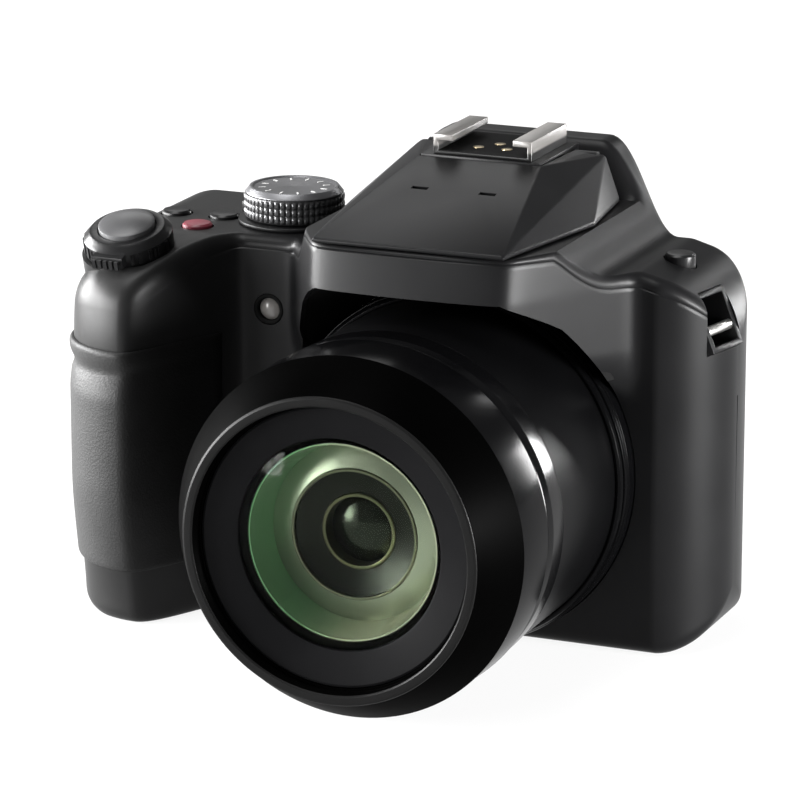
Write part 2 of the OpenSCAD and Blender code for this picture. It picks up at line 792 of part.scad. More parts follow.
module rear_cover() {
    color(black) difference() {
        shell(rear_grid(0), rear_grid(wall));
        translate([display_at[0], 0, display_at[1]]) {
            plate_y(display_w + 2 * fit, display_h + 2 * fit, glass_corner,
                rear_d - wall + display_ledge, rear_d + 3 * cut);
            plate_y(display_w - 2 * (display_edge - fit), display_h - 2 * (display_edge - fit), panel_corner,
                rear_d - wall - cut, rear_d);
        }
        translate([0, 0, finder_z])
            plate_y(finder_hole[0], finder_hole[1], finder_corner,
                rear_d + hump_back - wall - 4 * cut, rear_d + hump_back + cut);
        translate([pad_at[0], 0, pad_at[1]]) rod_y(pad_r + button_gap, rear_d - wall - cut, rear_d + 2 * cut);
        for (p = rear_buttons)
            translate([p[0], 0, p[1]]) rod_y(button_r + button_gap, rear_d - wall - cut, rear_d + 4 * cut);
        translate([rear_dial_at[0], rear_dial_at[1], rear_dial_at[2] - rear_dial_t / 2 - button_gap])
            cylinder(r = rear_dial_r + button_gap, h = rear_dial_t + 2 * button_gap);
        translate([diopter_at[0], 0, diopter_at[1]])
            rod_y(diopter_shaft_r + shaft_gap, rear_d - wall, rear_d + hump_back + cut);
        lug_cuts();
        door_cuts();
        terminal_cuts();
        socket_cut();
    }
}

// Grip rubber: a skin over the grip between two heights, from the side face round to the lens side
rubber_last = left_count + grip_steps - 1;
function rubber_ring(i, w) = [for (z = grip_rows(rubber_low)) [station_x(i, w), face_front(i, z, w), z]];
function rubber_grid(w) = [for (i = [0 : rubber_last]) rubber_ring(i, w)];
module grip_rubber() {
    color(soft_black) shell(rubber_grid(-rubber_t), rubber_grid(-fit));
}

// Frame plate behind the sensor, with posts for the main board
chassis_in = 32;
chassis_fall = 12.5;
chassis_x = [x_left + chassis_in, collar_r];
chassis_z = [wall + fit, deck_h - chassis_fall];
chassis_t = 1.2;
chassis_y = sensor_plate_y[1] + fit;
board_t = 1.6;
board_gap = 2.6;
board_inset = 3;
board_low = 7;
post_r = 1.8;
module chassis() {
    color(steel) difference() {
        union() {
            translate([chassis_x[0], chassis_y, chassis_z[0]])
                cube([chassis_x[1] - chassis_x[0], chassis_t, chassis_z[1] - chassis_z[0]]);
            for (x = [chassis_x[0] + 2 * board_inset, chassis_x[1] - 2 * board_inset],
                z = [chassis_z[0] + board_low + board_inset, chassis_z[1] - 2 * board_inset])
                translate([x, 0, z]) rod_y(post_r, chassis_y, chassis_y + chassis_t + board_gap);
        }
        translate([0, 0, -cut]) cylinder(r = socket_flange_r + fit, h = socket_h + 2 * cut);
    }
}

chip_size = [16, 14, 1.4];
chip_x = [-24, 2, 24];
module main_board() {
    y = chassis_y + chassis_t + board_gap;
    color(board_green) {
        translate([chassis_x[0] + board_inset, y, chassis_z[0] + board_low])
            cube([chassis_x[1] - chassis_x[0] - 2 * board_inset, board_t,
                chassis_z[1] - chassis_z[0] - board_low - board_inset]);
        for (x = chip_x)
            translate([x, y + board_t + chip_size[2] / 2, axis_h])
                cube([chip_size[0], chip_size[2] + fit, chip_size[1]], center = true);
    }
}

module lens_base_ring() {
    bead = 0.5;
    color(black) intersection() {
        turned([
            [barrel_r + fit, collar_back_d], [collar_r, collar_back_d], [collar_r, lens_seat_d - 2 * bead],
            [collar_r - bead, lens_seat_d], [collar_r - bead, lens_seat_d + bead],
            [collar_r - 3 * bead / 2, lens_seat_d + bead], [collar_r - bead, lens_seat_d + 2 * bead],
            [collar_r - 2 * bead, lens_seat_d + 4 * bead], [barrel_r + fit, lens_seat_d + 4 * bead]
        ]);
        translate([-collar_r - cut, -rim_d, table_gap]) cube([2 * (collar_r + cut), rim_d, 2 * axis_h]);
    }
}

module fixed_barrel() {
    color(black) turned([
        [bore_r, barrel_back_d], [barrel_r, barrel_back_d], [barrel_r, trim_back_d],
        [barrel_r - trim_seat, trim_back_d], [barrel_r - trim_seat, trim_front_d], [bore_r, trim_front_d]
    ]);
}

module barrel_trim_ring() {
    r0 = barrel_r - trim_seat;
    crown = 0.2;
    soft = 1;
    color(soft_black) turned([
        [r0, trim_back_d], [r0 + trim_t, trim_back_d], [r0 + trim_t + crown, trim_back_d + soft],
        [r0 + trim_t + crown, trim_front_d - soft], [r0 + trim_t - crown, trim_front_d], [r0, trim_front_d]
    ]);
}

module mid_barrel() {
    color(soft_black) turned([
        [snout_in_r, mid_back_d], [mid_r, mid_back_d], [mid_r, mid_front_d], [mid_in_r, mid_front_d],
        [mid_in_r, mid_wall_d], [snout_r, mid_wall_d], [snout_r, snout_front_d], [snout_in_r, snout_front_d]
    ]);
}

// Glass disc with a domed front: edge from f0 to f1, dome rising by sag
module glass_disc(r, f0, f1, sag) {
    big = (r * r + sag * sag) / (2 * sag);
    on_axis(f0) intersection() {
        cylinder(r = r, h = f1 - f0 + sag);
        translate([0, 0, f1 - f0 + sag - big]) sphere(big, $fn = 128);
    }
}

// Height of a spherical cap over its edge, at radius r
function cap_rise(r, edge_r, sag) =
    let (big = (edge_r * edge_r + sag * sag) / (2 * sag))
    sqrt(big * big - r * r) - big + sag;

// Second group in its cell: pale outer glass, then two rims round a dished and a domed inner glass
second_rim_r = [12.6, 7.3];
second_rim_w = [0.6, 0.7];
second_rim_f = [2, -0.2];
dish_up = 1;
dish_sag = 2.4;
core_drop = 3;
core_sag = 2.2;
glass_steps = [0, 0.25, 0.5, 0.75, 1];
module second_element() {
    e = second_edge_d;
    dish_r = second_rim_r[0] - second_rim_w[0];
    core_r = second_rim_r[1] - second_rim_w[1];
    color(glass_tint) turned(concat(
        [[0, e - second_t], [second_r, e - second_t]],
        [for (t = glass_steps) let (r = second_r + (second_rim_r[0] - second_r) * t)
            [r, e + cap_rise(r, second_r, second_sag)]],
        [[second_rim_r[0], e + second_rim_f[0]], [dish_r, e + second_rim_f[0]]],
        [for (t = glass_steps) let (r = dish_r + (second_rim_r[1] - dish_r) * t)
            [r, e + dish_up - cap_rise(r, dish_r, dish_sag)]],
        [[second_rim_r[1], e + second_rim_f[1]], [core_r, e + second_rim_f[1]]],
        [for (t = glass_steps) let (r = core_r * (1 - t))
            [r, e - core_drop + cap_rise(r, core_r, core_sag)]]
    ));
}

module iris_ring() {
    color(soft_black) turned([
        [iris_r, iris_d[0]], [snout_in_r - fit, iris_d[0]], [snout_in_r - fit, iris_d[1]], [iris_r, iris_d[1]]
    ]);
}

module front_tube() {
    color(soft_black) turned([
        [tube_in_r, tube_back_d], [tube_r, tube_back_d], [tube_r, shoulder_d], [tube_in_r, shoulder_d]
    ]);
}

// Front ring: black cone, filter thread, shelf for the name ring and cell of the second glass
module front_ring() {
    cell_r = second_r + fit;
    color(black) turned(concat(
        [[cell_r, cell_back_d], [cell_r + cell_t, cell_back_d], [cell_r + cell_t, shoulder_d]],
        [[front_r - edge, shoulder_d], [front_r, shoulder_d + edge]],
        [[filter_r + rim_land, rim_d - edge], [filter_r + rim_land - edge, rim_d]],
        [[filter_r, rim_d], [filter_r, rim_d - thread_d], [name_r, rim_d - thread_d]],
        [[name_r, name_back_d], [flange_in_r, name_back_d], [cell_r, second_edge_d]]
    ));
}

module scale_ring() {
    color(black) turned([
        [tube_r + fit, scale_back_d], [scale_r + scale_flare - edge, scale_back_d],
        [scale_r + scale_flare, scale_back_d + edge], [scale_r, shoulder_d], [tube_r + fit, shoulder_d]
    ]);
}

module name_ring() {
    color(soft_black) turned([
        [glass_r + fit, name_back_d], [name_r - fit, name_back_d], [name_r - fit, name_front_d],
        [glass_r + fit, name_front_d - name_slope]
    ]);
}

module front_element() {
    color(glass_tint) glass_disc(glass_r, name_back_d, glass_edge_d, glass_sag);
}

module lens_rear_plate() {
    color(steel) turned([
        [relay_r + fit, rear_plate_d[0]], [bore_r, rear_plate_d[0]],
        [bore_r, rear_plate_d[1]], [relay_r + fit, rear_plate_d[1]]
    ]);
}

module relay_lens() {
    color(glass_tint) glass_disc(relay_r, relay_d[0], relay_d[1] - relay_sag, relay_sag);
}

module image_sensor() {
    color(glass_tint) translate([0, 0, axis_h])
        plate_y(sensor_size[0], sensor_size[1], sensor_corner,
            sensor_plate_y[0] - sensor_t, sensor_plate_y[0]);
}

module sensor_plate() {
    color(steel) {
        translate([0, 0, axis_h])
            plate_y(sensor_plate_size[0], sensor_plate_size[1], plate_corner,
                sensor_plate_y[0], sensor_plate_y[1]);
        for (a = standoff_angles)
            translate([standoff_ring * cos(a), 0, axis_h + (standoff_ring - standoff_r) * sin(a)])
                rod_y(standoff_r, -rear_plate_d[0], sensor_plate_y[0]);
    }
}

// Right half of the lid as corners below its underside and on its facets
module lid_half() {
    front_y0 = -nose_front_d;
    foot_z = lid_z - cut / 2;
    lip_z = lid_z + lid_lip;
    points = [
        [0, front_y0, foot_z], [lid_front_x, front_y0, foot_z], [lid_wide[0], lid_wide[1], foot_z],
        [lid_arm_x, hinge_y, foot_z], [notch_x, hinge_y, foot_z],
        [notch_x, notch_y, foot_z], [0, notch_y, foot_z],
        [0, front_y0, lip_z], [lid_front_x, front_y0, lip_z],
        [notch_x, notch_y, ridge_z], [0, notch_y, ridge_z],
        [notch_x, hinge_y, hinge_z + hinge_knuckle_r - arm_edge], [hinge_out_x, hinge_y, hinge_z - arm_fall],
        [lid_wide[0], lid_wide[1], lip_z], [lid_arm_x, hinge_y, lip_z]
    ];
    faces = [
        [0, 1, 2, 3, 4, 5, 6],
        [7, 10, 9, 8], [0, 7, 8, 1], [1, 8, 13, 2], [2, 13, 14, 3],
        [8, 9, 12], [9, 11, 12], [8, 12, 13], [13, 12, 14],
        [3, 14, 12, 11, 4], [4, 11, 9, 5], [5, 9, 10, 6], [0, 6, 10, 7]
    ];
    polyhedron(points, faces, convexity = 6);
}

// Rise of the lid's top facet per millimetre, and the two microphone slots in it
lid_rise = (ridge_z - lid_z - lid_lip) / (notch_y + nose_front_d);
module mic_slots() {
    z = lid_z + lid_lip + lid_rise * (mic_at[1] + nose_front_d);
    both_sides() translate([mic_at[0], mic_at[1], z]) rotate([atan(lid_rise), 0, 0])
        translate([-mic_size[0] / 2, -mic_size[1] / 2, -mic_depth])
            cube([mic_size[0], mic_size[1], mic_depth + cut]);
}

// Hollow under the front plate of the lid
module lid_hollow() {
    front = -nose_front_d + 4 * lid_t;
    back = notch_y - lid_t;
    rise = lid_rise;
    half = notch_x - lid_t;
    translate([0, 0, lid_z - cut]) rotate([90, 0, 90]) translate([0, 0, -half])
        linear_extrude(2 * half) polygon([
            [front, 0], [back, 0], [back, cut + lid_lip + rise * (back + nose_front_d) - lid_t],
            [front, cut + lid_lip + rise * (front + nose_front_d) - lid_t]
        ]);
}

// Everything below the lid's underside
module under_lid() {
    translate([-lid_wide[0] - cut, -nose_front_d - cut, lid_z - 3 * cut])
        cube([2 * (lid_wide[0] + cut), nose_front_d + hinge_y + 3 * cut, 3 * cut]);
}

module flash_lid() {
    color(black) difference() {
        union() {
            both_sides() lid_half();
            both_sides() translate([0, hinge_y, hinge_z])
                rod_x(hinge_knuckle_r, notch_x + edge, hinge_out_x - edge);
        }
        under_lid();
        lid_hollow();
        mic_slots();
        both_sides() translate([0, hinge_y, hinge_z])
            rod_x(hinge_pin_r + pin_gap, notch_x - cut, hinge_pin_x[1] + fit);
    }
}

// Flash head under the front of the lid; its window faces forward once the lid is up
head_profile = [
    [head_y[0], lid_z], [head_y[0], lid_z - head_lip], [head_y[0] + head_run, lid_z - head_drop],
    [head_y[1], lid_z - head_drop], [head_y[1], lid_z]
];
module across(half, profile) {
    rotate([90, 0, 90]) translate([0, 0, -half]) linear_extrude(2 * half) polygon(profile);
}
module flash_head() {
    color(soft_black) across(head_half, head_profile);
}
module flash_window() {
    a = head_profile[1];
    b = head_profile[2];
    along = (b - a) / norm(b - a);
    out = [along[1], -along[0]] * window_t;
    color([0.85, 0.86, 0.82]) across(head_half - 1, [a + along, b - along, b - along + out, a + along + out]);
}
module flash_hinge_pins() {
    color(steel) both_sides() translate([0, hinge_y, hinge_z])
        rod_x(hinge_pin_r, hinge_pin_x[0], hinge_pin_x[1]);
}

// Accessory shoe
shoe_sink = 0.4;
shoe_z = hump_h - shoe_sink;
rail_t = 0.6;
rail_side = 1;
rail_lip = 3;
lip_t = 1.2;
rail_inset = 1.1;
module shoe_block() {
    color(black) difference() {
        translate([-shoe_half, shoe_front_y, nose_h])
            cube([2 * shoe_half, shoe_back_y - shoe_front_y, shoe_z - nose_h]);
        both_sides() translate([0, hinge_y, hinge_z]) rod_x(hinge_pin_r, hinge_pin_x[0], shoe_half + cut);
    }
}
module shoe_rails() {
    half = shoe_w / 2 + rail_side;
    top = shoe_z + rail_t + shoe_slot + lip_t;
    depth = shoe_back_y - shoe_front_y - 2 * rail_inset;
    color(steel) translate([0, shoe_front_y + depth + rail_inset, 0])
        rotate([90, 0, 0]) linear_extrude(depth) polygon([
        [-half, shoe_z], [half, shoe_z], [half, top], [half - rail_side - rail_lip, top],
        [half - rail_side - rail_lip, top - lip_t], [half - rail_side, top - lip_t],
        [half - rail_side, shoe_z + rail_t], [rail_side - half, shoe_z + rail_t],
        [rail_side - half, top - lip_t], [rail_side + rail_lip - half, top - lip_t],
        [rail_side + rail_lip - half, top], [-half, top]
    ]);
}
contact_r = 1.1;
contact_h = 0.25;
contact_places = [[0, 0], [-3, -4], [3, -4]];
module shoe_contacts() {
    y = (shoe_front_y + shoe_back_y) / 2;
    color(gold) for (p = contact_places)
        translate([p[0], y + p[1], shoe_z + rail_t]) cylinder(r = contact_r, h = contact_h);
}

// Mode dial with a knurled rim, on a shaft through the deck
switch_tab = 13.4;
switch_tab_w = 3;
switch_tab_h = 2.2;
switch_tab_angle = 160;
dial_gap = 0.3;
knurl_count = 36;
knurl_r = 0.35;
dial_top_in = 1.2;
shaft_foot = 1.5;
// Facets of the small ribs and knurls
rib_fn = 16;
dial_z = deck_h + fit + switch_t + dial_gap;
module mode_dial() {
    color(grey) translate([dial_at[0], dial_at[1], 0]) {
        difference() {
            translate([0, 0, dial_z]) rotate_extrude() polygon([
                [0, 0], [dial_r - edge, 0], [dial_r, edge], [dial_r, dial_h - dial_top_in],
                [dial_r - dial_top_in, dial_h], [0, dial_h]
            ]);
            for (k = [0 : knurl_count - 1]) rotate([0, 0, 360 * k / knurl_count])
                translate([dial_r + knurl_r / 3, 0, dial_z + 2 * edge])
                    cylinder(r = knurl_r, h = dial_h - 4 * edge - dial_top_in, $fn = rib_fn);
        }
        translate([0, 0, deck_h - wall - shaft_foot])
            cylinder(r = shaft_r, h = wall + shaft_foot + dial_z - deck_h + cut);
    }
}
module power_switch() {
    color(black) translate([dial_at[0], dial_at[1], deck_h + fit]) difference() {
        union() {
            cylinder(r = switch_r, h = switch_t);
            rotate([0, 0, switch_tab_angle]) translate([dial_r + dial_gap * 2, -switch_tab_w / 2, 0])
                cube([switch_tab - dial_r - dial_gap * 2, switch_tab_w, switch_tab_h]);
        }
        translate([0, 0, -cut]) cylinder(r = shaft_r + 2 * fit, h = switch_t + 2 * cut);
    }
}

// Zoom lever round the shutter button
lever_ribs = 7;
lever_edge = 1.4;
lever_tab = [2.2, 6.4];
lever_tab_lift = 0.8;
lever_rib_r = 0.45;
lever_rib_out = 0.15;
lever_hole = shutter_r + button_gap;
module zoom_lever() {
    color(black) at_lever() difference() {
        union() {
            translate([0, 0, lever_base]) rotate_extrude() polygon([
                [lever_hole, 0], [lever_r, 0],
                [lever_r, lever_h - lever_edge], [lever_r - lever_edge, lever_h],
                [lever_hole, lever_h]
            ]);
            rotate([0, 0, -90]) translate([lever_r - cut, -lever_tab[1] / 2, lever_base + lever_tab_lift])
                cube([lever_tab[0], lever_tab[1], lever_h - lever_edge - lever_tab_lift]);
        }
        for (k = [0 : lever_ribs - 1]) rotate([0, 0, -180 + 180 * k / (lever_ribs - 1)])
            translate([lever_r + lever_rib_out, 0, lever_base + edge])
                cylinder(r = lever_rib_r, h = lever_h - lever_edge - 2 * edge, $fn = rib_fn);
    }
}
shutter_h = 6;
module shutter_button() {
    dome = 1.2;
    big = (shutter_r * shutter_r + dome * dome) / (2 * dome);
    color(black) at_lever() {
        translate([0, 0, lever_base + button_travel]) intersection() {
            cylinder(r = shutter_r, h = shutter_h);
            translate([0, 0, shutter_h - big]) sphere(big, $fn = 128);
        }
        translate([0, 0, -lever_collar + 1]) cylinder(r = stem_r, h = lever_collar + lever_base);
    }
}

// Button through the deck, reaching a little above and below the wall
button_rise = 0.8;
button_foot = 0.8;
module deck_button(p) {
    h = wall + button_foot + button_rise;
    translate([p[0], p[1], deck_h - wall - button_foot]) rotate_extrude()
        polygon([[0, 0], [button_r, 0], [button_r, h - edge], [button_r - edge, h], [0, h]]);
}
module video_button() {
    color([0.6, 0.12, 0.16]) deck_button(video_at);
}
module drive_button() {
    color(black) deck_button(drive_at);
}
module burst_button() {
    color(black) deck_button(burst_at);
}
module flash_button() {
    color(black) deck_button(flash_button_at);
}

module display_panel() {
    y = rear_d - wall + display_ledge;
    color(soft_black) translate([display_at[0], 0, display_at[1]])
        plate_y(display_w - 2 * display_edge, display_h - 2 * display_edge, panel_corner, y - panel_t, y);
}
module display_glass() {
    y = rear_d - wall + display_ledge;
    color([0.05, 0.05, 0.06]) translate([display_at[0], 0, display_at[1]])
        plate_y(display_w, display_h, glass_corner, y, rear_d + glass_proud);
}

eyecup_wall = 5;
eyecup_r = 6;
eyecup_recess = 6;
module eyecup() {
    y0 = rear_d + hump_back + fit;
    color(soft_black) translate([0, 0, finder_z]) difference() {
        plate_y(eyecup_w, eyecup_h, eyecup_r, y0, eyecup_d);
        plate_y(finder_hole[0], finder_hole[1], finder_corner, y0 - cut, eyecup_d + cut);
        plate_y(eyecup_w - eyecup_wall, eyecup_h - eyecup_wall, eyecup_r - eyecup_wall / 2,
            eyecup_d - eyecup_recess, eyecup_d + cut);
    }
}
finder_lens_t = 3;
module viewfinder_lens() {
    y = rear_d + hump_back - fit;
    color(glass_tint) translate([0, 0, finder_z])
        plate_y(finder_hole[0] - 2 * finder_gap, finder_hole[1] - 2 * finder_gap, finder_corner - finder_gap,
            y - finder_lens_t, y);
}
finder_body = 18;
module viewfinder_display() {
    y = rear_d + hump_back - fit - finder_lens_t;
    color(soft_black) translate([0, 0, finder_z])
        plate_y(finder_hole[0] - 2 * finder_gap, finder_hole[1] - 2 * finder_gap, finder_corner - finder_gap,
            y - finder_body, y);
}
diopter_t = 3;
diopter_sink = 0.6;
diopter_ribs = 24;
fine_rib_r = 0.3;
fine_rib_out = 0.1;
module diopter_dial() {
    y = rear_d + hump_back - diopter_sink;
    color(black) translate([diopter_at[0], 0, diopter_at[1]]) {
        difference() {
            rod_y(diopter_r, y, y + diopter_t);
            for (k = [0 : diopter_ribs - 1]) rotate([0, 360 * k / diopter_ribs, 0])
                translate([diopter_r + fine_rib_out, 0, 0])
                    rod_y(fine_rib_r, y - cut, y + diopter_t + cut, $fn = rib_fn);
        }
        rod_y(diopter_shaft_r, rear_d, y);
    }
}

rear_dial_ribs = 40;
module rear_dial() {
    color(black) translate([rear_dial_at[0], rear_dial_at[1], rear_dial_at[2]]) difference() {
        cylinder(r = rear_dial_r, h = rear_dial_t, center = true);
        for (k = [0 : rear_dial_ribs - 1]) rotate([0, 0, 360 * k / rear_dial_ribs])
            translate([rear_dial_r + fine_rib_out, 0, 0])
                cylinder(r = fine_rib_r, h = rear_dial_t + cut, center = true, $fn = rib_fn);
    }
}

// Cursor pad: a rocking ring with the set button in its middle
pad_rise = 1;
set_rise = 0.3;
module cursor_pad() {
    color(black) translate([pad_at[0], 0, pad_at[1]]) difference() {
        rod_y(pad_r, rear_d - wall - button_foot, rear_d + pad_rise);
        rod_y(set_r + button_gap, rear_d - wall - 2 * cut, rear_d + pad_rise + cut);
    }
}
module set_button() {
    color(black) translate([pad_at[0], 0, pad_at[1]])
        rod_y(set_r, rear_d - wall - button_foot, rear_d + pad_rise + set_rise);
}
module rear_button(p) {
    y = rear_y(p[0], p[1]);
    color(black) translate([p[0], 0, p[1]]) rod_y(button_r, y - wall - button_foot, y + button_rise);
}
module play_button() {
    rear_button(play_at);
}
module lock_button() {
    rear_button(lock_at);
}
module menu_button() {
    rear_button(menu_at);
}
module view_button() {
    rear_button(view_at);
}

module battery() {
    color(grey) translate([battery_x - battery_size[0] / 2, battery_y - battery_size[1] / 2, battery_z])
        cube(battery_size);
}
module memory_card() {
    color([0.1, 0.15, 0.3])
        translate([card_x - card_size[0] / 2, card_y - card_size[1] / 2, card_z]) cube(card_size);
}
latch_size = [4.4, 7, 0.9];
latch_travel = 3;
latch_in = 5;
latch_at = [door_x0 + latch_in, 0];
module battery_door() {
    color(black) difference() {
        union() {
            linear_extrude(door_t) intersection() {
                door_outline(0);
                translate([-door_relief, 0]) door_outline(0);
            }
            translate([door_x1 - door_relief - cut, knuckle_y[0], 0])
                cube([door_pin_x - door_x1 + door_relief + cut, knuckle_y[1] - knuckle_y[0], door_t]);
            translate([door_pin_x, 0, door_pin_z]) rod_y(knuckle_r, knuckle_y[0], knuckle_y[1]);
        }
        translate([door_pin_x, 0, door_pin_z]) rod_y(pin_r + pin_gap, knuckle_y[0] - cut, knuckle_y[1] + cut);
        translate([latch_at[0] - latch_size[0] / 2 - fit, latch_at[1] - latch_size[1] / 2 - fit, -cut])
            cube([latch_size[0] + 2 * fit, latch_size[1] + latch_travel + 2 * fit,
                latch_size[2] + fit + cut]);
    }
}
module battery_door_pin() {
    color(steel) translate([door_pin_x, 0, door_pin_z])
        rod_y(pin_r, knuckle_y[0] - pin_reach, knuckle_y[1] + pin_reach);
}
module battery_latch() {
    color(grey) translate([latch_at[0] - latch_size[0] / 2, latch_at[1] - latch_size[1] / 2, fit / 2])
        cube(latch_size);
}

module terminal_door() {
    color(soft_black) {
        translate([x_left, terminal_y[0], terminal_z[0]])
            cube([terminal_t, terminal_pin[1] - terminal_y[0], terminal_z[1] - terminal_z[0]]);
        translate([terminal_pin[0], terminal_pin[1], terminal_z[0]])
            cylinder(r = terminal_knuckle_r, h = terminal_z[1] - terminal_z[0]);
        translate([terminal_pin[0], terminal_pin[1], terminal_z[0] - terminal_stub])
            cylinder(r = terminal_stub_r, h = terminal_z[1] - terminal_z[0] + 2 * terminal_stub);
    }
}
module terminal_sockets() {
    lip = 0.5;
    color(steel) for (z = terminal_socket_z)
        translate([x_left + terminal_t + 2 * fit, terminal_socket_y - terminal_socket_size[1] / 2, z])
            difference() {
            cube(terminal_socket_size);
            translate([-cut, lip, lip])
                cube([terminal_socket_size[0], terminal_socket_size[1] - 2 * lip,
                    terminal_socket_size[2] - 2 * lip]);
        }
}

module tripod_socket() {
    color(steel) difference() {
        cylinder(r = socket_flange_r, h = socket_h);
        translate([0, 0, -cut]) cylinder(r = socket_r, h = socket_d + cut);
    }
}

module lug_pockets() {
    color(black) for (p = lug_places) at_lug(p)
        translate([lug_mouth - lug_box[0], -lug_box[1] / 2, -lug_box[2] / 2]) difference() {
            cube(lug_box);
            translate([lug_wall, lug_wall, lug_wall])
                cube([lug_box[0], lug_box[1] - 2 * lug_wall, lug_box[2] - 2 * lug_wall]);
        }
}
module strap_lugs() {
    color(steel) for (p = lug_places) at_lug(p)
        translate([lug_bar_at[0], 0, lug_bar_at[1]])
            rod_y(lug_bar_r, lug_wall - lug_box[1] / 2, lug_box[1] / 2 - lug_wall);
}

module focus_lamp_lens() {
    color([0.75, 0.5, 0.4]) translate([lamp_at[0], 0, lamp_at[1]])
        rod_y(lamp_r, -panel_d - lamp_proud, -panel_d + wall);
}

front_cover();
rear_cover();
top_cover();
grip_rubber();
chassis();
main_board();
lens_base_ring();
fixed_barrel();
barrel_trim_ring();
mid_barrel();
second_element();
iris_ring();
front_tube();
front_ring();
scale_ring();
name_ring();
front_element();
lens_rear_plate();
relay_lens();
image_sensor();
sensor_plate();
flash_lid();
flash_head();
flash_window();
flash_hinge_pins();
flash_button();
shoe_block();
shoe_rails();
shoe_contacts();
mode_dial();
power_switch();
zoom_lever();
shutter_button();
video_button();
drive_button();
burst_button();
display_panel();
display_glass();
eyecup();
viewfinder_lens();
viewfinder_display();
diopter_dial();
rear_dial();
cursor_pad();
set_button();
play_button();
view_button();
lock_button();
menu_button();
battery();
battery_door();
battery_door_pin();
battery_latch();
memory_card();
terminal_door();
terminal_sockets();
tripod_socket();
strap_lugs();
lug_pockets();
focus_lamp_lens();
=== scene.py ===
"""Looks of the bridge camera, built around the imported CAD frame.

Sizes are in millimetres in the CAD frame.
"""
from math import atan, copysign, cos, pi, radians, sin, sqrt, tan

import bmesh
import bpy
from mathutils import Matrix, Vector


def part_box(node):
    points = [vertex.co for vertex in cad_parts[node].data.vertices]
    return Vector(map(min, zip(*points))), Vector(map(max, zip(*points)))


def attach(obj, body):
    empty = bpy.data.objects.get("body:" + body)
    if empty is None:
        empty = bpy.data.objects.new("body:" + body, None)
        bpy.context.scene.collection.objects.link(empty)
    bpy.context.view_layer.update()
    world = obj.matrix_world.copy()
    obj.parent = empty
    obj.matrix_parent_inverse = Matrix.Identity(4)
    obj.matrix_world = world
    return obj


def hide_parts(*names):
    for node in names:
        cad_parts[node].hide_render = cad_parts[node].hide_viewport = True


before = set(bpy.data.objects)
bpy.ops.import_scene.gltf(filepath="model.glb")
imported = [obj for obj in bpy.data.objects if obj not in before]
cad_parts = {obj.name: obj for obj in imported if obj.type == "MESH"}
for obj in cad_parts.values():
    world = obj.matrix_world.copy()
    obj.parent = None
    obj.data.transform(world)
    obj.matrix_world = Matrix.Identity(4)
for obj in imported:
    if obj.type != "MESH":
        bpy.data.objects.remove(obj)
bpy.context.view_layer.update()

MM = 0.001


def low(node):
    """Lowest corner of a CAD node in millimetres."""
    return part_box(node)[0] / MM


def high(node):
    """Highest corner of a CAD node in millimetres."""
    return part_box(node)[1] / MM


def middle(node):
    return (low(node) + high(node)) / 2


def radius(node):
    return (high(node).x - low(node).x) / 2


# Body sizes read from the frame
X_LEFT = low("front_cover").x
X_RIGHT = high("front_cover").x
HUMP_H = high("top_cover").z
RIM_D = -low("front_ring").y
AXIS_H = (low("fixed_barrel").z + high("fixed_barrel").z) / 2
RUBBER_LOW = low("grip_rubber").z
RUBBER_HIGH = high("grip_rubber").z
RUBBER_END = high("grip_rubber").x
RUBBER_T = X_LEFT - low("grip_rubber").x

# Body sizes that the covers' formulas share with the part's source
DECK_H = 76.5
NOSE_H = 83.4
PANEL_D = 14.0
REAR_D = 20.0
SEAM_D = 2.0
WALL = 2.0
BASE_R = 3.0
DECK_R = 2.6
GRIP_EDGE_R = 8.0
GRIP_D = 25.0
HOLLOW_D = 0.9
HOLLOW_H = 51.5
HOLLOW_HALF = 5.0
DECK_FALL = 0.3
FALL_START_Y = -16.0
GRIP_FADE = (-46.5, -62.0)
FOOT_IN = 3.5
FOOT_RISE = 30.0
SHOULDER_IN = 2.0
THUMB_OUT = 2.5
THUMB_X = (-46.5, -60.5)
THUMB_Z = (36.0, 52.0)
NOSE_D = 28.0
NOSE_HALF = 20.0
FLANK_SLOPE = 1.8
NOSE_FADE = (50.0, 62.0)
NOSE_EDGE_R = 0.9
HUMP_HALF = 16.0
HUMP_FOOT = 33.0
HUMP_BACK = 7.0
HUMP_FADE = (60.0, 70.0)
HUMP_EDGE_R = 3.0
SHOULDER_X = 36.0
SHOULDER_FALL = 0.28
ARM_END_Y = 15.4
# Run of the hump's front slope behind the flash arms
HUMP_RUN = 4.0
# Softening of the nose's upright edges
NOSE_SOFT = 1.6
# Half width of the seam grooves, and how far they cut in
GROOVE = 0.22
# Least radius of an inner edge, and least run between two rows of the deck
LEAST_R = 0.02
LEAST_RUN = 0.1

# Roundness of the grip's front towards its outer side: run along X and setback
GRIP_ROUND = (16.0, 16.5)
# How far the nose panel leans back over its height, and how far its middle stands out
NOSE_LEAN = 1.2
NOSE_BULGE = 0.8
NOSE_LIP_Z = 74.8
# Flatness of the bevel between the front and the right end, from 0 for an ellipse to 1
RIGHT_FLAT = 0.2

# Rounded ends: run along X, then setback of front, rear, base and deck
LEFT_END = (10.0, GRIP_ROUND[1], 10.0, 6.0, 10.0)
RIGHT_END = (11.2, 15.5, 17.5, 12.0, 12.0)
RUN, FRONT, REAR, BASE, DECK = range(5)
LAST_ANGLE = 88.2

# Fineness of the body's grid
END_STEPS = 26
STEP_X = 0.9
STEP_Z = 0.9
ARC_STEPS = 6


def ease(a, b, v):
    t = min(1.0, max(0.0, (v - a) / (b - a)))
    return t * t * (3 - 2 * t)


def bump(v, middle, half):
    return 1 - ease(0, half, abs(v - middle))


def over(v, soft):
    """Positive part of v with a rounded corner."""
    return (v + sqrt(v * v + soft * soft)) / 2


def lerp(a, b, t):
    return a + (b - a) * t


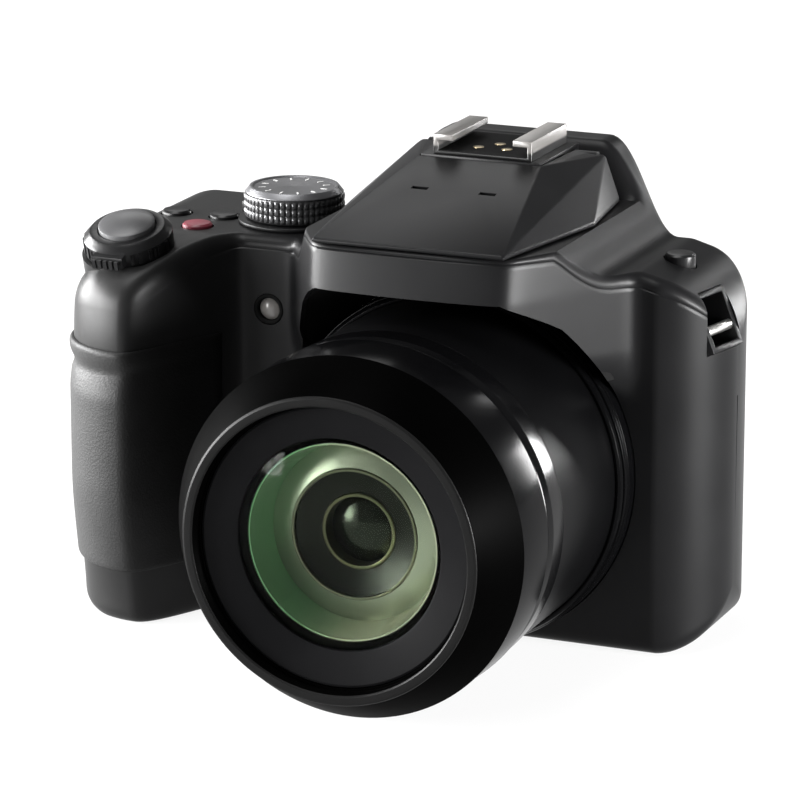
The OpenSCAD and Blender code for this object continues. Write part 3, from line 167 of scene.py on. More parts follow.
def spread(a, b, step):
    """Evenly spaced values from a to b, about step apart."""
    n = max(1, round(abs(b - a) / step))
    return [lerp(a, b, k / n) for k in range(n + 1)]


def run(a, b, count):
    """Evenly spaced points after a, up to b."""
    return [(lerp(a[0], b[0], k / count), lerp(a[1], b[1], k / count)) for k in range(1, count + 1)]


def grip_at(x):
    return ease(GRIP_FADE[0], GRIP_FADE[1], x)


def grip_depth(z):
    return (GRIP_D - FOOT_IN * (1 - ease(0, FOOT_RISE, z))
            - HOLLOW_D * bump(z, HOLLOW_H, HOLLOW_HALF)
            - SHOULDER_IN * ease(RUBBER_HIGH, DECK_H, z))


def nose_at(x):
    return over(NOSE_D - FLANK_SLOPE * over(abs(x) - NOSE_HALF, NOSE_SOFT), NOSE_SOFT)


def hump_at(x):
    return 1 - ease(HUMP_HALF, HUMP_FOOT, abs(x))


def nose_swell(x, z):
    """Forward offset of the nose panel from its upright plane."""
    lean = 0.5 - (max(z, NOSE_LIP_Z) - NOSE_LIP_Z) / (NOSE_H - NOSE_LIP_Z)
    return NOSE_LEAN * lean + NOSE_BULGE * max(0, 1 - (x / NOSE_HALF) ** 2)


def front_y(x, z):
    nose = nose_at(x) * (1 + nose_swell(x, z) / NOSE_D)
    return -PANEL_D - max(grip_at(x) * grip_depth(z), nose * ease(NOSE_FADE[0], NOSE_FADE[1], z))


def rear_y(x, z):
    return (REAR_D + HUMP_BACK * hump_at(x) * ease(HUMP_FADE[0], HUMP_FADE[1], z)
            + THUMB_OUT * ease(THUMB_X[0], THUMB_X[1], x) * ease(THUMB_Z[0], THUMB_Z[1], z))


def deck_z(x):
    return DECK_H - SHOULDER_FALL * max(0, x - SHOULDER_X)


def top_high(x):
    return lerp(deck_z(x), HUMP_H, hump_at(x))


def top_low(x):
    return min(top_high(x), NOSE_H)


def deck_drop(x, y):
    return DECK_FALL * grip_at(x) * max(0, FALL_START_Y - y)


class Station:
    """One cross-section of the body: side -1 or 1 on the rounded ends, 0 between them."""

    def __init__(self, side, value):
        self.side = side
        self.end = LEFT_END if side < 0 else RIGHT_END
        self.sine = sin(radians(value)) if side else 0.0
        self.share = 1 - cos(radians(value)) if side else 0.0
        self.shape_x = self.x_at(0) if side else value

    def x_at(self, w):
        if self.side < 0:
            return X_LEFT + w + (self.end[RUN] - w) * (1 - self.sine)
        if self.side > 0:
            return X_RIGHT - w - (self.end[RUN] - w) * (1 - self.sine)
        return self.shape_x

    def full(self, part):
        return self.end[part] if self.side else 0.0

    def setback(self, part, w):
        return w + (self.full(part) - w) * self.share

    def base_z(self):
        return self.full(BASE) * self.share

    def deck_cut(self):
        return self.full(DECK) * self.share

    def low_r(self):
        return BASE_R * (1 - self.share)

    def top_r(self):
        nose = min(1, nose_at(self.shape_x) / NOSE_D)
        edge = lerp(DECK_R, GRIP_EDGE_R, grip_at(self.shape_x))
        return lerp(edge, NOSE_EDGE_R, nose) * (1 - self.share)

    def back_r(self):
        return HUMP_EDGE_R * (1 - self.share)

    def front_setback(self, w):
        """Setback of the front: a wide curve on the grip's side and a flat bevel on the other."""
        reach = (X_LEFT + GRIP_ROUND[0] - self.shape_x) / GRIP_ROUND[0]
        if self.side > 0:
            return w + (self.end[FRONT] - w) * lerp(self.share, self.sine, RIGHT_FLAT)
        if reach <= 0:
            return self.setback(FRONT, w)
        share = 1 - sqrt(max(0.0, 1 - min(reach, 1.0) ** 2))
        return w + (GRIP_ROUND[1] - w) * share

    def front(self, z, w):
        return front_y(self.shape_x, z) + self.front_setback(w)

    def rear(self, z, w):
        return rear_y(self.shape_x, z) - self.setback(REAR, w)

    def seam_z(self):
        edge_y = front_y(self.shape_x, DECK_H) + self.top_r()
        return top_low(self.shape_x) - self.deck_cut() - deck_drop(self.shape_x, edge_y) - self.top_r()

    def rear_seam_z(self):
        return top_high(self.shape_x) - self.deck_cut() - self.back_r()


END_ANGLES = [LAST_ANGLE * k / END_STEPS for k in range(END_STEPS + 1)]
STATIONS = (
    [Station(-1, a) for a in reversed(END_ANGLES)]
    + [Station(0, x) for x in spread(X_LEFT + LEFT_END[RUN], X_RIGHT - RIGHT_END[RUN], STEP_X)[1:-1]]
    + [Station(1, a) for a in END_ANGLES]
)
QUARTER = [radians(90 * k / ARC_STEPS) for k in range(ARC_STEPS + 1)]
FRONT_ROWS = 96
DECK_ROWS = 8
TOP_ROWS = 22
BACK_ROWS = 8
RAMP_ROWS = 6
REAR_ROWS = 60
BASE_ROWS = 6


def inner_r(r, w):
    return max(r - w, LEAST_R)


def seam_in(k, last, w, depth=GROOVE):
    """Inset of row k of a face, so that covers meet in a small groove."""
    return depth if w == 0 and k == last else 0.0


def deck_groove(st):
    """Depth of the groove between front and deck, which runs out on the grip."""
    return GROOVE * (1 - grip_at(st.shape_x))


def front_rows(st, w):
    """Base, lower edge and front face up to the deck seam."""
    z0 = st.base_z() + st.low_r()
    r = inner_r(st.low_r(), w)
    yc = st.front(z0, 0) + st.low_r()
    zs = st.seam_z()
    rows = [(lerp(SEAM_D, yc, k / BASE_ROWS), z0 - r) for k in range(BASE_ROWS)]
    rows += [(yc - r * sin(a), z0 - r * cos(a)) for a in QUARTER[:-1]]
    heights = [lerp(z0, zs - GROOVE, k / (FRONT_ROWS - 1)) for k in range(FRONT_ROWS)] + [zs]
    rows += [(st.front(z, w) + seam_in(k, FRONT_ROWS, w, deck_groove(st)), z)
             for k, z in enumerate(heights)]
    return rows


def top_rows(st, w):
    """From the front seam over the deck and the hump to the rear seam."""
    sx, zs, r = st.shape_x, st.seam_z(), inner_r(st.top_r(), w)
    yf = st.front(zs, 0) + st.top_r()
    zr, rr = st.rear_seam_z(), inner_r(st.back_r(), w)
    yb = st.rear(zr, 0) - st.back_r()
    low_z = top_low(sx) - st.deck_cut() - (st.top_r() - r)
    high_z = top_high(sx) - st.deck_cut() - (st.back_r() - rr)
    eps = LEAST_RUN
    y3 = max(yf + eps, min(FALL_START_Y, yb - 5 * eps))
    y4 = max(y3 + eps, min(ARM_END_Y + w - 3 * eps, yb - 4 * eps))
    y5 = max(y4 + 3 * eps, min(y4 + HUMP_RUN, yb - eps))
    rows = [(yf - r * cos(a), zs + r * sin(a)) for a in QUARTER]
    rows[0] = (rows[0][0] + seam_in(0, 0, w, deck_groove(st)), zs)
    fallen = (y3, low_z - deck_drop(sx, y3))
    rows += run((yf, zs + r), fallen, DECK_ROWS) + run(fallen, (y4, low_z), TOP_ROWS)
    rows += [(lerp(y4, y5, k / RAMP_ROWS), lerp(low_z, high_z, sin(pi / 2 * k / RAMP_ROWS)))
             for k in range(1, RAMP_ROWS + 1)]
    rows += run((y5, high_z), (yb, high_z), BACK_ROWS)
    rows += [(yb + rr * sin(a), zr + rr * cos(a)) for a in QUARTER[1:]]
    rows[-1] = (st.rear(zr, w) - (GROOVE if w == 0 else 0), zr)
    return rows


def rear_rows(st, w):
    """From the rear seam down to the base."""
    z0 = st.base_z() + st.low_r()
    r = inner_r(st.low_r(), w)
    yc = st.rear(z0, 0) - st.low_r()
    zs = st.rear_seam_z()
    heights = [zs] + [lerp(zs - GROOVE, z0, k / (REAR_ROWS - 1)) for k in range(REAR_ROWS)]
    rows = [(st.rear(z, w) - seam_in(k, 0, w), z) for k, z in enumerate(heights)]
    rows += [(yc + r * cos(a), z0 - r * sin(a)) for a in QUARTER[1:]]
    rows += run((yc, z0 - r), (SEAM_D, z0 - r), BASE_ROWS)
    return rows


# Short line on the side seam where the covers close at both ends
CAP_Z = (20.0, 50.0)
CAP_HALF = 0.2
CAP_LOW = (SEAM_D, CAP_Z[0])
CAP_FRONT = (SEAM_D - CAP_HALF, CAP_Z[1])
CAP_REAR = (SEAM_D + CAP_HALF, CAP_Z[1])


def body_grid(rows, w, start, end):
    """Grid of points along the stations, closed at both ends towards a short line on the side seam."""
    grid = [[(st.x_at(w), y, z) for y, z in rows(st, w)] for st in STATIONS]
    n = len(grid[0])

    def cap(x):
        shares = [j / (n - 1) for j in range(n)]
        return [(x, lerp(start[0], end[0], t), lerp(start[1], end[1], t)) for t in shares]

    return [cap(X_LEFT + w)] + grid + [cap(X_RIGHT - w)]


# Edges that turn by more than these degrees stay sharp
SMOOTH = 35
FACET_SMOOTH = 30
LAMP_SMOOTH = 40
LENS_SMOOTH = 50


def make_object(name, verts, faces, smooth=SMOOTH):
    """Mesh object from points in millimetres, with its normals outward."""
    mesh = bpy.data.meshes.new(name)
    mesh.from_pydata([tuple(c * MM for c in v) for v in verts], [], faces)
    obj = bpy.data.objects.new(name, mesh)
    bpy.context.collection.objects.link(obj)
    bm = bmesh.new()
    bm.from_mesh(mesh)
    bmesh.ops.recalc_face_normals(bm, faces=bm.faces)
    bm.to_mesh(mesh)
    bm.free()
    soften(mesh, smooth)
    return obj


def soften(mesh, angle):
    mesh.shade_smooth()
    mesh.set_sharp_from_angle(angle=radians(angle))


def shell_object(name, outer, inner):
    """Closed shell between two grids of points."""
    m, n = len(outer), len(outer[0])
    verts = [p for grid in (outer, inner) for row in grid for p in row]
    faces = []

    def quad(*corners):
        faces.append(tuple(side * m * n + i * n + j for i, j, side in corners))

    for i in range(m - 1):
        for j in range(n - 1):
            quad((i, j, 0), (i + 1, j, 0), (i + 1, j + 1, 0), (i, j + 1, 0))
            quad((i, j, 1), (i, j + 1, 1), (i + 1, j + 1, 1), (i + 1, j, 1))
        quad((i, 0, 0), (i, 0, 1), (i + 1, 0, 1), (i + 1, 0, 0))
        quad((i, n - 1, 0), (i + 1, n - 1, 0), (i + 1, n - 1, 1), (i, n - 1, 1))
    for j in range(n - 1):
        quad((0, j, 0), (0, j + 1, 0), (0, j + 1, 1), (0, j, 1))
        quad((m - 1, j, 0), (m - 1, j, 1), (m - 1, j + 1, 1), (m - 1, j + 1, 0))
    return make_object(name, verts, faces)


def prism(outline, axis, start, end):
    """Solid from an outline drawn across the axis: (y, z) for X, (x, z) for Y and (x, y) for Z."""
    point = {
        "X": lambda p, t: (t, p[0], p[1]),
        "Y": lambda p, t: (p[0], t, p[1]),
        "Z": lambda p, t: (p[0], p[1], t),
    }
    n = len(outline)
    verts = [point[axis](p, t) for t in (start, end) for p in outline]
    faces = [tuple(range(n)), tuple(range(2 * n - 1, n - 1, -1))]
    faces += [(k, n + k, n + (k + 1) % n, (k + 1) % n) for k in range(n)]
    return verts, faces


def block(x, y, z):
    return prism([(x[0], y[0]), (x[1], y[0]), (x[1], y[1]), (x[0], y[1])], "Z", z[0], z[1])


# Sides of round cuts, of lens pieces, of the lamp and of the dial's cap
DISC_COUNT = 64
LENS_COUNT = 160
LAMP_COUNT = 48
CAP_COUNT = 120
# Radius of a turned profile's points on its axis
AXIS_R = 0.001


def disc(centre, r):
    angles = [2 * pi * k / DISC_COUNT for k in range(DISC_COUNT)]
    return [(centre[0] + r * cos(a), centre[1] + r * sin(a)) for a in angles]


def rounded_rect(centre, w, h, r, steps=8):
    points = []
    for sx, sz, a0 in ((1, 1, 0), (-1, 1, 90), (-1, -1, 180), (1, -1, 270)):
        for k in range(steps + 1):
            a = radians(a0 + 90 * k / steps)
            points.append((centre[0] + sx * (w / 2 - r) + r * cos(a),
                           centre[1] + sz * (h / 2 - r) + r * sin(a)))
    return points


def lens_grid(profile, count=LENS_COUNT, centre=(0.0, AXIS_H)):
    """Points and faces of a closed (radius, forward) profile turned about an axis along Y."""
    n = len(profile)
    verts, faces = [], []
    for k in range(count):
        a = 2 * pi * k / count
        verts += [(centre[0] + r * cos(a), -f, centre[1] + r * sin(a)) for r, f in profile]
    for k in range(count):
        k2 = (k + 1) % count
        faces += [(k * n + j, k * n + (j + 1) % n, k2 * n + (j + 1) % n, k2 * n + j) for j in range(n)]
    return verts, faces


# Largest share of a side that a fillet takes, angle from which a corner counts as straight, least tangent
FILLET_SHARE = 0.45
STRAIGHT = 172
LEAST_TAN = 1e-3


def fillet(points, rounding, steps=4):
    """Closed profile with every corner rounded as far as its sides allow."""
    out = []
    n = len(points)
    for k in range(n):
        p, a, b = Vector(points[k]), Vector(points[k - 1]), Vector(points[(k + 1) % n])
        da, db = a - p, b - p
        turn = da.angle(db) if da.length and db.length else pi
        reach = min(rounding / max(tan(turn / 2), LEAST_TAN),
                    FILLET_SHARE * da.length, FILLET_SHARE * db.length)
        if turn > radians(STRAIGHT):
            out.append(tuple(p))
            continue
        start, end = p + da.normalized() * reach, p + db.normalized() * reach
        for s in range(steps + 1):
            t = s / steps
            out.append(tuple(start * (1 - t) ** 2 + p * 2 * t * (1 - t) + end * t * t))
    return out


def offsets(r, f, steps):
    """Profile points from steps inwards and forwards of one place."""
    return [(r - inwards, f + forwards) for inwards, forwards in steps]


def moved(solid, matrix):
    verts, faces = solid
    return [tuple(matrix @ Vector(v)) for v in verts], faces


def merged(solids):
    """Points and faces of several solids as one."""
    points, sides = [], []
    for verts, faces in solids:
        sides += [tuple(len(points) + v for v in f) for f in faces]
        points += verts
    return points, sides


def common(solid, limit):
    """Part of a solid that lies inside another one."""
    obj = combine(make_object("common", *solid), [limit], "INTERSECT")
    shared = ([tuple(v.co / MM) for v in obj.data.vertices], [tuple(f.vertices) for f in obj.data.polygons])
    bpy.data.objects.remove(obj)
    return shared


def combine(obj, solids, operation="DIFFERENCE", smooth=SMOOTH):
    """Cuts or joins closed solids with an object, one after the other."""
    for verts, faces in solids:
        tool = make_object(f"{obj.name}_tool", verts, faces)
        cut = obj.modifiers.new("cut", "BOOLEAN")
        cut.operation = operation
        cut.solver = "MANIFOLD"
        cut.object = tool
        deps = bpy.context.evaluated_depsgraph_get()
        made = bpy.data.meshes.new_from_object(obj.evaluated_get(deps))
        obj.modifiers.clear()
        old, obj.data = obj.data, made
        bpy.data.meshes.remove(old)
        bpy.data.objects.remove(tool)
    soften(obj.data, smooth)
    return obj


# Materials
def node_material(name):
    mat = bpy.data.materials.new(name)
    mat.use_nodes = True
    return mat, mat.node_tree.nodes["Principled BSDF"]


def link(source, output, target, socket):
    """Links a node's output to a socket of another node."""
    target.id_data.links.new(source.outputs[output], target.inputs[socket])


def put(node, values):
    """Sets a node's sockets, by name or number."""
    for key, value in values.items():
        node.inputs[key].default_value = value


def add(tree, kind, **values):
    node = tree.nodes.new(kind)
    for key, value in values.items():
        if key in node.inputs:
            node.inputs[key].default_value = value
        else:
            setattr(node, key, value)
    return node


def ranged(noise, least, most):
    """Node that maps a noise to a range."""
    node = add(noise.id_data, "ShaderNodeMapRange")
    put(node, {"To Min": least, "To Max": most})
    link(noise, "Fac", node, "Value")
    return node


# Name of the node that holds a finish's plain colour, and the colour sockets of a mix node
TINT = "tint"
MIX_A, MIX_B, MIX_OUT = 6, 7, 2
PER_METRE = 1000
# Soft patches of a surface: their fineness, and their share of its roughness
PATCH_SCALE, PATCH_DETAIL = 90.0, 3.0
PATCH_ROUGH = 0.1
# Lines of brushed metal: fineness, share of the roughness, strength and depth of the relief
LINE_STRETCH = (1, 60, 60)
LINE_SCALE, LINE_DETAIL = 120.0, 4.0
LINE_ROUGH = 0.3
LINE_RELIEF, LINE_DEPTH = 0.15, 0.05
GLASS_ROUGH = 0.01


def surface(name, colour, roughness, grain_mm=0.3, grain=0.1, specular=0.5, metallic=0.0, patch=0.25,
            cells=False):
    """Moulded or painted surface: fine grain as bump, and soft patches of colour and roughness."""
    mat, shader = node_material(name)
    tree = mat.node_tree
    put(shader, {"Metallic": metallic, "Specular IOR Level": specular})
    where = add(tree, "ShaderNodeTexCoord")
    fine = add(tree, "ShaderNodeTexVoronoi" if cells else "ShaderNodeTexNoise", Scale=PER_METRE / grain_mm)
    soft = add(tree, "ShaderNodeTexNoise", Scale=PATCH_SCALE, Detail=PATCH_DETAIL)
    bump_node = add(tree, "ShaderNodeBump", Strength=grain, Distance=grain_mm * MM)
    for tex in (fine, soft):
        link(where, "Object", tex, "Vector")
    link(fine, "Distance" if cells else "Fac", bump_node, "Height")
    link(bump_node, "Normal", shader, "Normal")
    tint = add(tree, "ShaderNodeMix", data_type="RGBA", blend_type="MULTIPLY", name=TINT)
    put(tint, {"Factor": 1.0, MIX_A: (*colour, 1)})
    link(ranged(soft, 1 - patch, 1 + patch), "Result", tint, MIX_B)
    link(tint, MIX_OUT, shader, "Base Color")
    rough = ranged(soft, roughness * (1 - PATCH_ROUGH), roughness * (1 + PATCH_ROUGH))
    link(rough, "Result", shader, "Roughness")
    return mat


def two_tone(mat, first, second, axis, turn):
    """Finish whose colour goes from one to another along an axis, between two places in millimetres."""
    tree = mat.node_tree
    split = add(tree, "ShaderNodeSeparateXYZ")
    share = add(tree, "ShaderNodeMapRange", interpolation_type="SMOOTHSTEP")
    put(share, {"From Min": turn[0] * MM, "From Max": turn[1] * MM})
    tone = add(tree, "ShaderNodeMix", data_type="RGBA")
    put(tone, {MIX_A: (*first, 1), MIX_B: (*second, 1)})
    link(add(tree, "ShaderNodeTexCoord"), "Object", split, 0)
    link(split, axis, share, "Value")
    link(share, "Result", tone, "Factor")
    link(tone, MIX_OUT, tree.nodes[TINT], MIX_A)


def brushed(name, colour, roughness):
    """Metal with fine lines along one axis."""
    mat, shader = node_material(name)
    tree = mat.node_tree
    put(shader, {"Metallic": 1.0, "Base Color": (*colour, 1)})
    where = add(tree, "ShaderNodeTexCoord")
    squeeze = add(tree, "ShaderNodeMapping", Scale=LINE_STRETCH)
    lines = add(tree, "ShaderNodeTexNoise", Scale=LINE_SCALE, Detail=LINE_DETAIL)
    relief = add(tree, "ShaderNodeBump", Strength=LINE_RELIEF, Distance=LINE_DEPTH * MM)
    link(where, "Object", squeeze, "Vector")
    link(squeeze, "Vector", lines, "Vector")
    rough = ranged(lines, roughness * (1 - LINE_ROUGH), roughness * (1 + LINE_ROUGH))
    link(rough, "Result", shader, "Roughness")
    link(lines, "Fac", relief, "Height")
    link(relief, "Normal", shader, "Normal")
    return mat


def glass(name, colour, ior=1.46):
    mat, shader = node_material(name)
    put(shader, {"Base Color": (*colour, 1), "Roughness": GLASS_ROUGH, "IOR": ior})
    put(shader, {"Transmission Weight": 1.0})
    return mat


# Finishes: base colour, roughness, size and strength of the grain, and specular level
COVER_TONE = (0.003, 0.003, 0.0032)
RUBBER_TONE = (0.0032, 0.0032, 0.0032)
LENS_TONE = (0.0008, 0.0008, 0.0009)
RAIL_DARK, RAIL_BARE = (0.004, 0.004, 0.004), (0.09, 0.086, 0.082)
COVER = surface("cover_plastic", COVER_TONE, 0.37, 0.25, 0.05, 0.085)
RUBBER = surface("grip_leather", RUBBER_TONE, 0.48, 0.45, 0.12, 0.065, cells=True)
SATIN = surface("lens_satin", LENS_TONE, 0.34, 0.2, 0.04, 0.05)
GLOSS = surface("lens_gloss", LENS_TONE, 0.17, 0.6, 0.01, 0.03)
POLISH = surface("trim_gloss", LENS_TONE, 0.17, 0.6, 0.01, 0.09)
CONE = surface("cone_black", (0.0002, 0.0002, 0.0002), 0.4, 0.4, 0.02, 0.003)
DEEP = surface("deep_black", (0.002, 0.002, 0.002), 0.7, 0.4, 0.1, 0.05)
NAME = surface("ring_satin", (0.003, 0.003, 0.0032), 0.42, 0.2, 0.05, 0.012)
LAND = surface("rim_satin", (0.003, 0.003, 0.003), 0.35, 0.2, 0.04, 0.05)
DIAL = surface("dial_satin", (0.09, 0.09, 0.094), 0.34, 0.2, 0.05, metallic=0.7)
KNURL = surface("knurl_satin", (0.03, 0.03, 0.031), 0.3, 0.2, 0.05, 0.3, metallic=0.6)
BUTTON = surface("button_satin", (0.004, 0.004, 0.0042), 0.30, 0.3, 0.05, 0.15)
SHUTTER = surface("shutter_satin", (0.03, 0.03, 0.031), 0.36, 0.3, 0.05, 0.3)
RED = surface("red_satin", (0.10, 0.012, 0.02), 0.4, 0.3, 0.05, 0.3)
RAIL = surface("rail_paint", RAIL_BARE, 0.38, 0.25, 0.06, metallic=0.3)
MARK = surface("mark_paint", (0.42, 0.42, 0.41), 0.5, 0.2, 0.04, 0.2)
STEEL = brushed("steel_lines", (0.66, 0.65, 0.63), 0.28)
BRASS = brushed("plated_lines", (0.3, 0.24, 0.14), 0.3)
SCREEN = surface("screen_gloss", (0.004, 0.004, 0.005), 0.06, 0.6, 0.0, 0.2)
CARD = surface("card_plastic", (0.02, 0.04, 0.12), 0.4)
CELL = surface("cell_wrap", (0.07, 0.07, 0.075), 0.42)
BOARD = surface("board_mask", (0.02, 0.11, 0.05), 0.4)
LAMP = surface("lamp_lens", (0.10, 0.095, 0.09), 0.16, 0.5, 0.03)
CLEAR = glass("clear_window", (0.93, 0.94, 0.92))
FRONT_GLASS = glass("coated_glass", (0.93, 0.97, 0.92), 1.09)

# The grip's outer end is painted paler on the covers and on the rubber: a painted highlight that stands for
# the lit band where the left lamp falls on the grip's side
PAINTED_HIGHLIGHT_COVER, PAINTED_HIGHLIGHT_RUBBER = (0.0075, 0.0075, 0.0075), (0.018, 0.018, 0.018)
PAINTED_HIGHLIGHT_COVER_X = (X_LEFT + 6.0, X_LEFT + 44.0)
PAINTED_HIGHLIGHT_RUBBER_X = (X_LEFT + 4.0, X_LEFT + 25.0)
two_tone(COVER, PAINTED_HIGHLIGHT_COVER, COVER_TONE, "X", PAINTED_HIGHLIGHT_COVER_X)
two_tone(RUBBER, PAINTED_HIGHLIGHT_RUBBER, RUBBER_TONE, "X", PAINTED_HIGHLIGHT_RUBBER_X)


def paint(obj, mat):
    obj.data.materials.clear()
    obj.data.materials.append(mat)


def place(obj, mat, body, slot, *nodes):
    """Gives a new piece its material and its body, and hides the CAD nodes it stands for."""
    paint(obj, mat)
    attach(obj, body)
    if nodes:
        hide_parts(*nodes)


def lathe(name, profile, rounding, mat, body, slot, *nodes, cuts=()):
    """Lens piece turned from a profile, with its corners rounded."""
    obj = make_object(name, *lens_grid(fillet(profile, rounding)), LENS_SMOOTH)
    if cuts:
        combine(obj, cuts, smooth=LENS_SMOOTH)
    place(obj, mat, body, slot, *nodes)


# Cuts that the covers share
FIT = 0.1
THROUGH = 1.0
HOLE_R = 36.2
TUNNEL_FLARE = (6.4, 8.0)
TUNNEL_RUN = 16.0
LIP_UP = HOLE_R + 3.4
NOSE_FRONT = PANEL_D + NOSE_D
TUNNEL_BACK = 8.0
TUNNEL_FRONT = NOSE_FRONT + NOSE_LEAN + NOSE_BULGE + THROUGH


def tunnel(grow=0.0, back=TUNNEL_BACK, front=TUNNEL_FRONT):
    """Tunnel round the lens, widening under the straight lip of the nose."""
    r = HOLE_R + grow
    profile = [(AXIS_R, back), (r, back), (r, PANEL_D), (r + TUNNEL_FLARE[0], PANEL_D + TUNNEL_RUN),
               (r + TUNNEL_FLARE[1], front), (AXIS_R, front)]
    reach = r + TUNNEL_FLARE[1] + THROUGH
    roof = block((-reach, reach), (-front - THROUGH, -back + THROUGH),
                 (AXIS_H - reach, AXIS_H + LIP_UP + grow))
    return common(lens_grid(profile), roof)


# Strap lugs: place, side of the body and turn about the upright
LUGS = ((X_RIGHT - 3.8, -2.0, 65.5, 1, -12.0), (X_LEFT + 3.4, -3.0, 61.0, -1, 0.0))
LUG_TILT = 24.0
LUG_BOX = (8.0, 11.0, 12.0)
LUG_MOUTH = 1.2
LUG_THROUGH = 6.0


def lug_matrix(lug):
    x, y, z, side, yaw = lug
    turn = Matrix.Rotation(radians(yaw), 4, "Z") @ Matrix.Rotation(radians(-LUG_TILT), 4, "Y")
    flip = Matrix.Scale(side, 4, Vector((1, 0, 0)))
    return Matrix.Translation((x, y, z)) @ flip @ turn


def lug_cuts():
    half_y, half_z = LUG_BOX[1] / 2 + FIT, LUG_BOX[2] / 2 + FIT
    cut = block((LUG_MOUTH - LUG_BOX[0] - FIT, LUG_MOUTH + LUG_THROUGH),
                (-half_y, half_y), (-half_z, half_z))
    return [moved(cut, lug_matrix(lug)) for lug in LUGS]


# Sizes of the cuts in the base
DOOR_GAP = 0.25
DOOR_CHAMFER = (7.0, 9.5)
DOOR_DEEP, KNUCKLE_DEEP = 3.0, 5.0
CARD_WALL = 0.6
PIN_SEAT = 2.0
FLAP_GAP, FLAP_LAP = 0.2, 0.7
SOCKET_R, SOCKET_DEEP = 5.6, 5.0


def foot_cuts():
    """Battery door, its knuckle and pin, terminal door and tripod socket."""
    lo, hi = low("battery_door"), high("battery_door")
    card_side = high("memory_card").x + CARD_WALL
    knuckle = (low("battery_door_pin").y + PIN_SEAT, high("battery_door_pin").y - PIN_SEAT)
    g = DOOR_GAP
    outline = [(lo.x - g, lo.y - g), (card_side - DOOR_CHAMFER[0] + g / 2, lo.y - g),
               (card_side + g, lo.y + DOOR_CHAMFER[1] - g / 2), (card_side + g, hi.y + g),
               (lo.x - g, hi.y + g)]
    t0, t1 = low("terminal_door"), high("terminal_door")
    return [
        prism(outline, "Z", -THROUGH, DOOR_DEEP),
        block((card_side - THROUGH, hi.x + g), (knuckle[0] - g, knuckle[1] + g), (-THROUGH, KNUCKLE_DEEP)),
        block((X_LEFT - 2 * THROUGH, t1.x + FIT), (t0.y - FLAP_GAP, t1.y + FLAP_GAP),
              (t0.z + FLAP_LAP, t1.z - FLAP_LAP)),
        prism(disc((0, 0), SOCKET_R), "Z", -THROUGH, SOCKET_DEEP),
    ]


# Covers
OUTER, INNER = 0.0, WALL
LAMP_AT = middle("focus_lamp_lens").xz
LAMP_R = radius("focus_lamp_lens")
LAMP_CUT = (-PANEL_D - 3.0, -PANEL_D + WALL + THROUGH)


def cover(name, rows, start, end):
    return shell_object(name, body_grid(rows, OUTER, start, end), body_grid(rows, INNER, start, end))


front = cover("front_cover_skin", front_rows, CAP_LOW, CAP_FRONT)
combine(front, [tunnel(), prism(disc(LAMP_AT, LAMP_R + FIT), "Y", *LAMP_CUT)] + lug_cuts() + foot_cuts())
place(front, COVER, "camera", "cover_black", "front_cover")

# Deck: room round the buttons, the lever, the dial and the flash head
BUTTON_GAP = 0.3
BUTTON_CUT = (DECK_H - 5.0, DECK_H + 3.0)
LEVER_X, LEVER_Y, LEVER_R = -66.5, -24.0, 8.8
LEVER_AT = Vector((LEVER_X, LEVER_Y, DECK_H - DECK_FALL * (FALL_START_Y - LEVER_Y)))
LEVER_TILT = Matrix.Translation(LEVER_AT) @ Matrix.Rotation(atan(DECK_FALL), 4, "X")
LEVER_RIM, LEVER_DEEP = 0.8, 5.0
LEVER_STEM_R, LEVER_STEM_CUT = 2.3, (-7.0, 2.0)
LEVER_CUT = (0.2, 5.0)
DIAL_STEM_R, DIAL_STEM_CUT = 3.1, (DECK_H - 4.0, DECK_H + 1.0)
WELL_HALF, WELL_Y, WELL_Z = 15.6, (-39.6, -25.4), (NOSE_H - 3.0, NOSE_H + 1.0)


def on_lever(r, bottom, top):
    """Round solid about the lever's axis."""
    return moved(prism(disc((0, 0), r), "Z", bottom, top), LEVER_TILT)


top = cover("top_cover_skin", top_rows, CAP_FRONT, CAP_REAR)
combine(top, [on_lever(LEVER_R + LEVER_RIM, -LEVER_DEEP, 0)], "UNION")
deck_holes = [prism(disc(middle(b).xy, radius(b) + BUTTON_GAP), "Z", *BUTTON_CUT)
              for b in ("video_button", "drive_button", "burst_button", "flash_button")]
dial_xy = middle("mode_dial").xy
deck_holes += [
    on_lever(LEVER_STEM_R, *LEVER_STEM_CUT),
    prism(disc(dial_xy, DIAL_STEM_R), "Z", *DIAL_STEM_CUT),
    prism(disc(dial_xy, radius("power_switch") + BUTTON_GAP), "Z", DECK_H + FIT / 2, HUMP_H),
    on_lever(LEVER_R + BUTTON_GAP, *LEVER_CUT),
    block((-WELL_HALF, WELL_HALF), WELL_Y, WELL_Z),
]
combine(top, deck_holes + lug_cuts())
place(top, COVER, "camera", "cover_black", "top_cover")

# Rear: corners of its recesses, and how far its cuts reach
DISPLAY_R, PANEL_R, FINDER_R = 2.0, 1.0, 2.0
FINDER_GAP = 0.2
PAD_CUT = (REAR_D - 3.0, REAR_D + 3.0)
KEY_CUT = (REAR_D - 4.0, REAR_D + 5.0)
THUMB_CUT = 2.3
DIOPTER_R, DIOPTER_CUT = 1.56, (REAR_D - 2.0, REAR_D + 9.0)


def on_rear(node, grow, back, ahead, corner):
    """Cut through the rear face in a node's outline."""
    c, lo, hi = middle(node), low(node), high(node)
    outline = rounded_rect(c.xz, hi.x - lo.x + 2 * grow, hi.z - lo.z + 2 * grow, corner)
    return prism(outline, "Y", back, ahead)


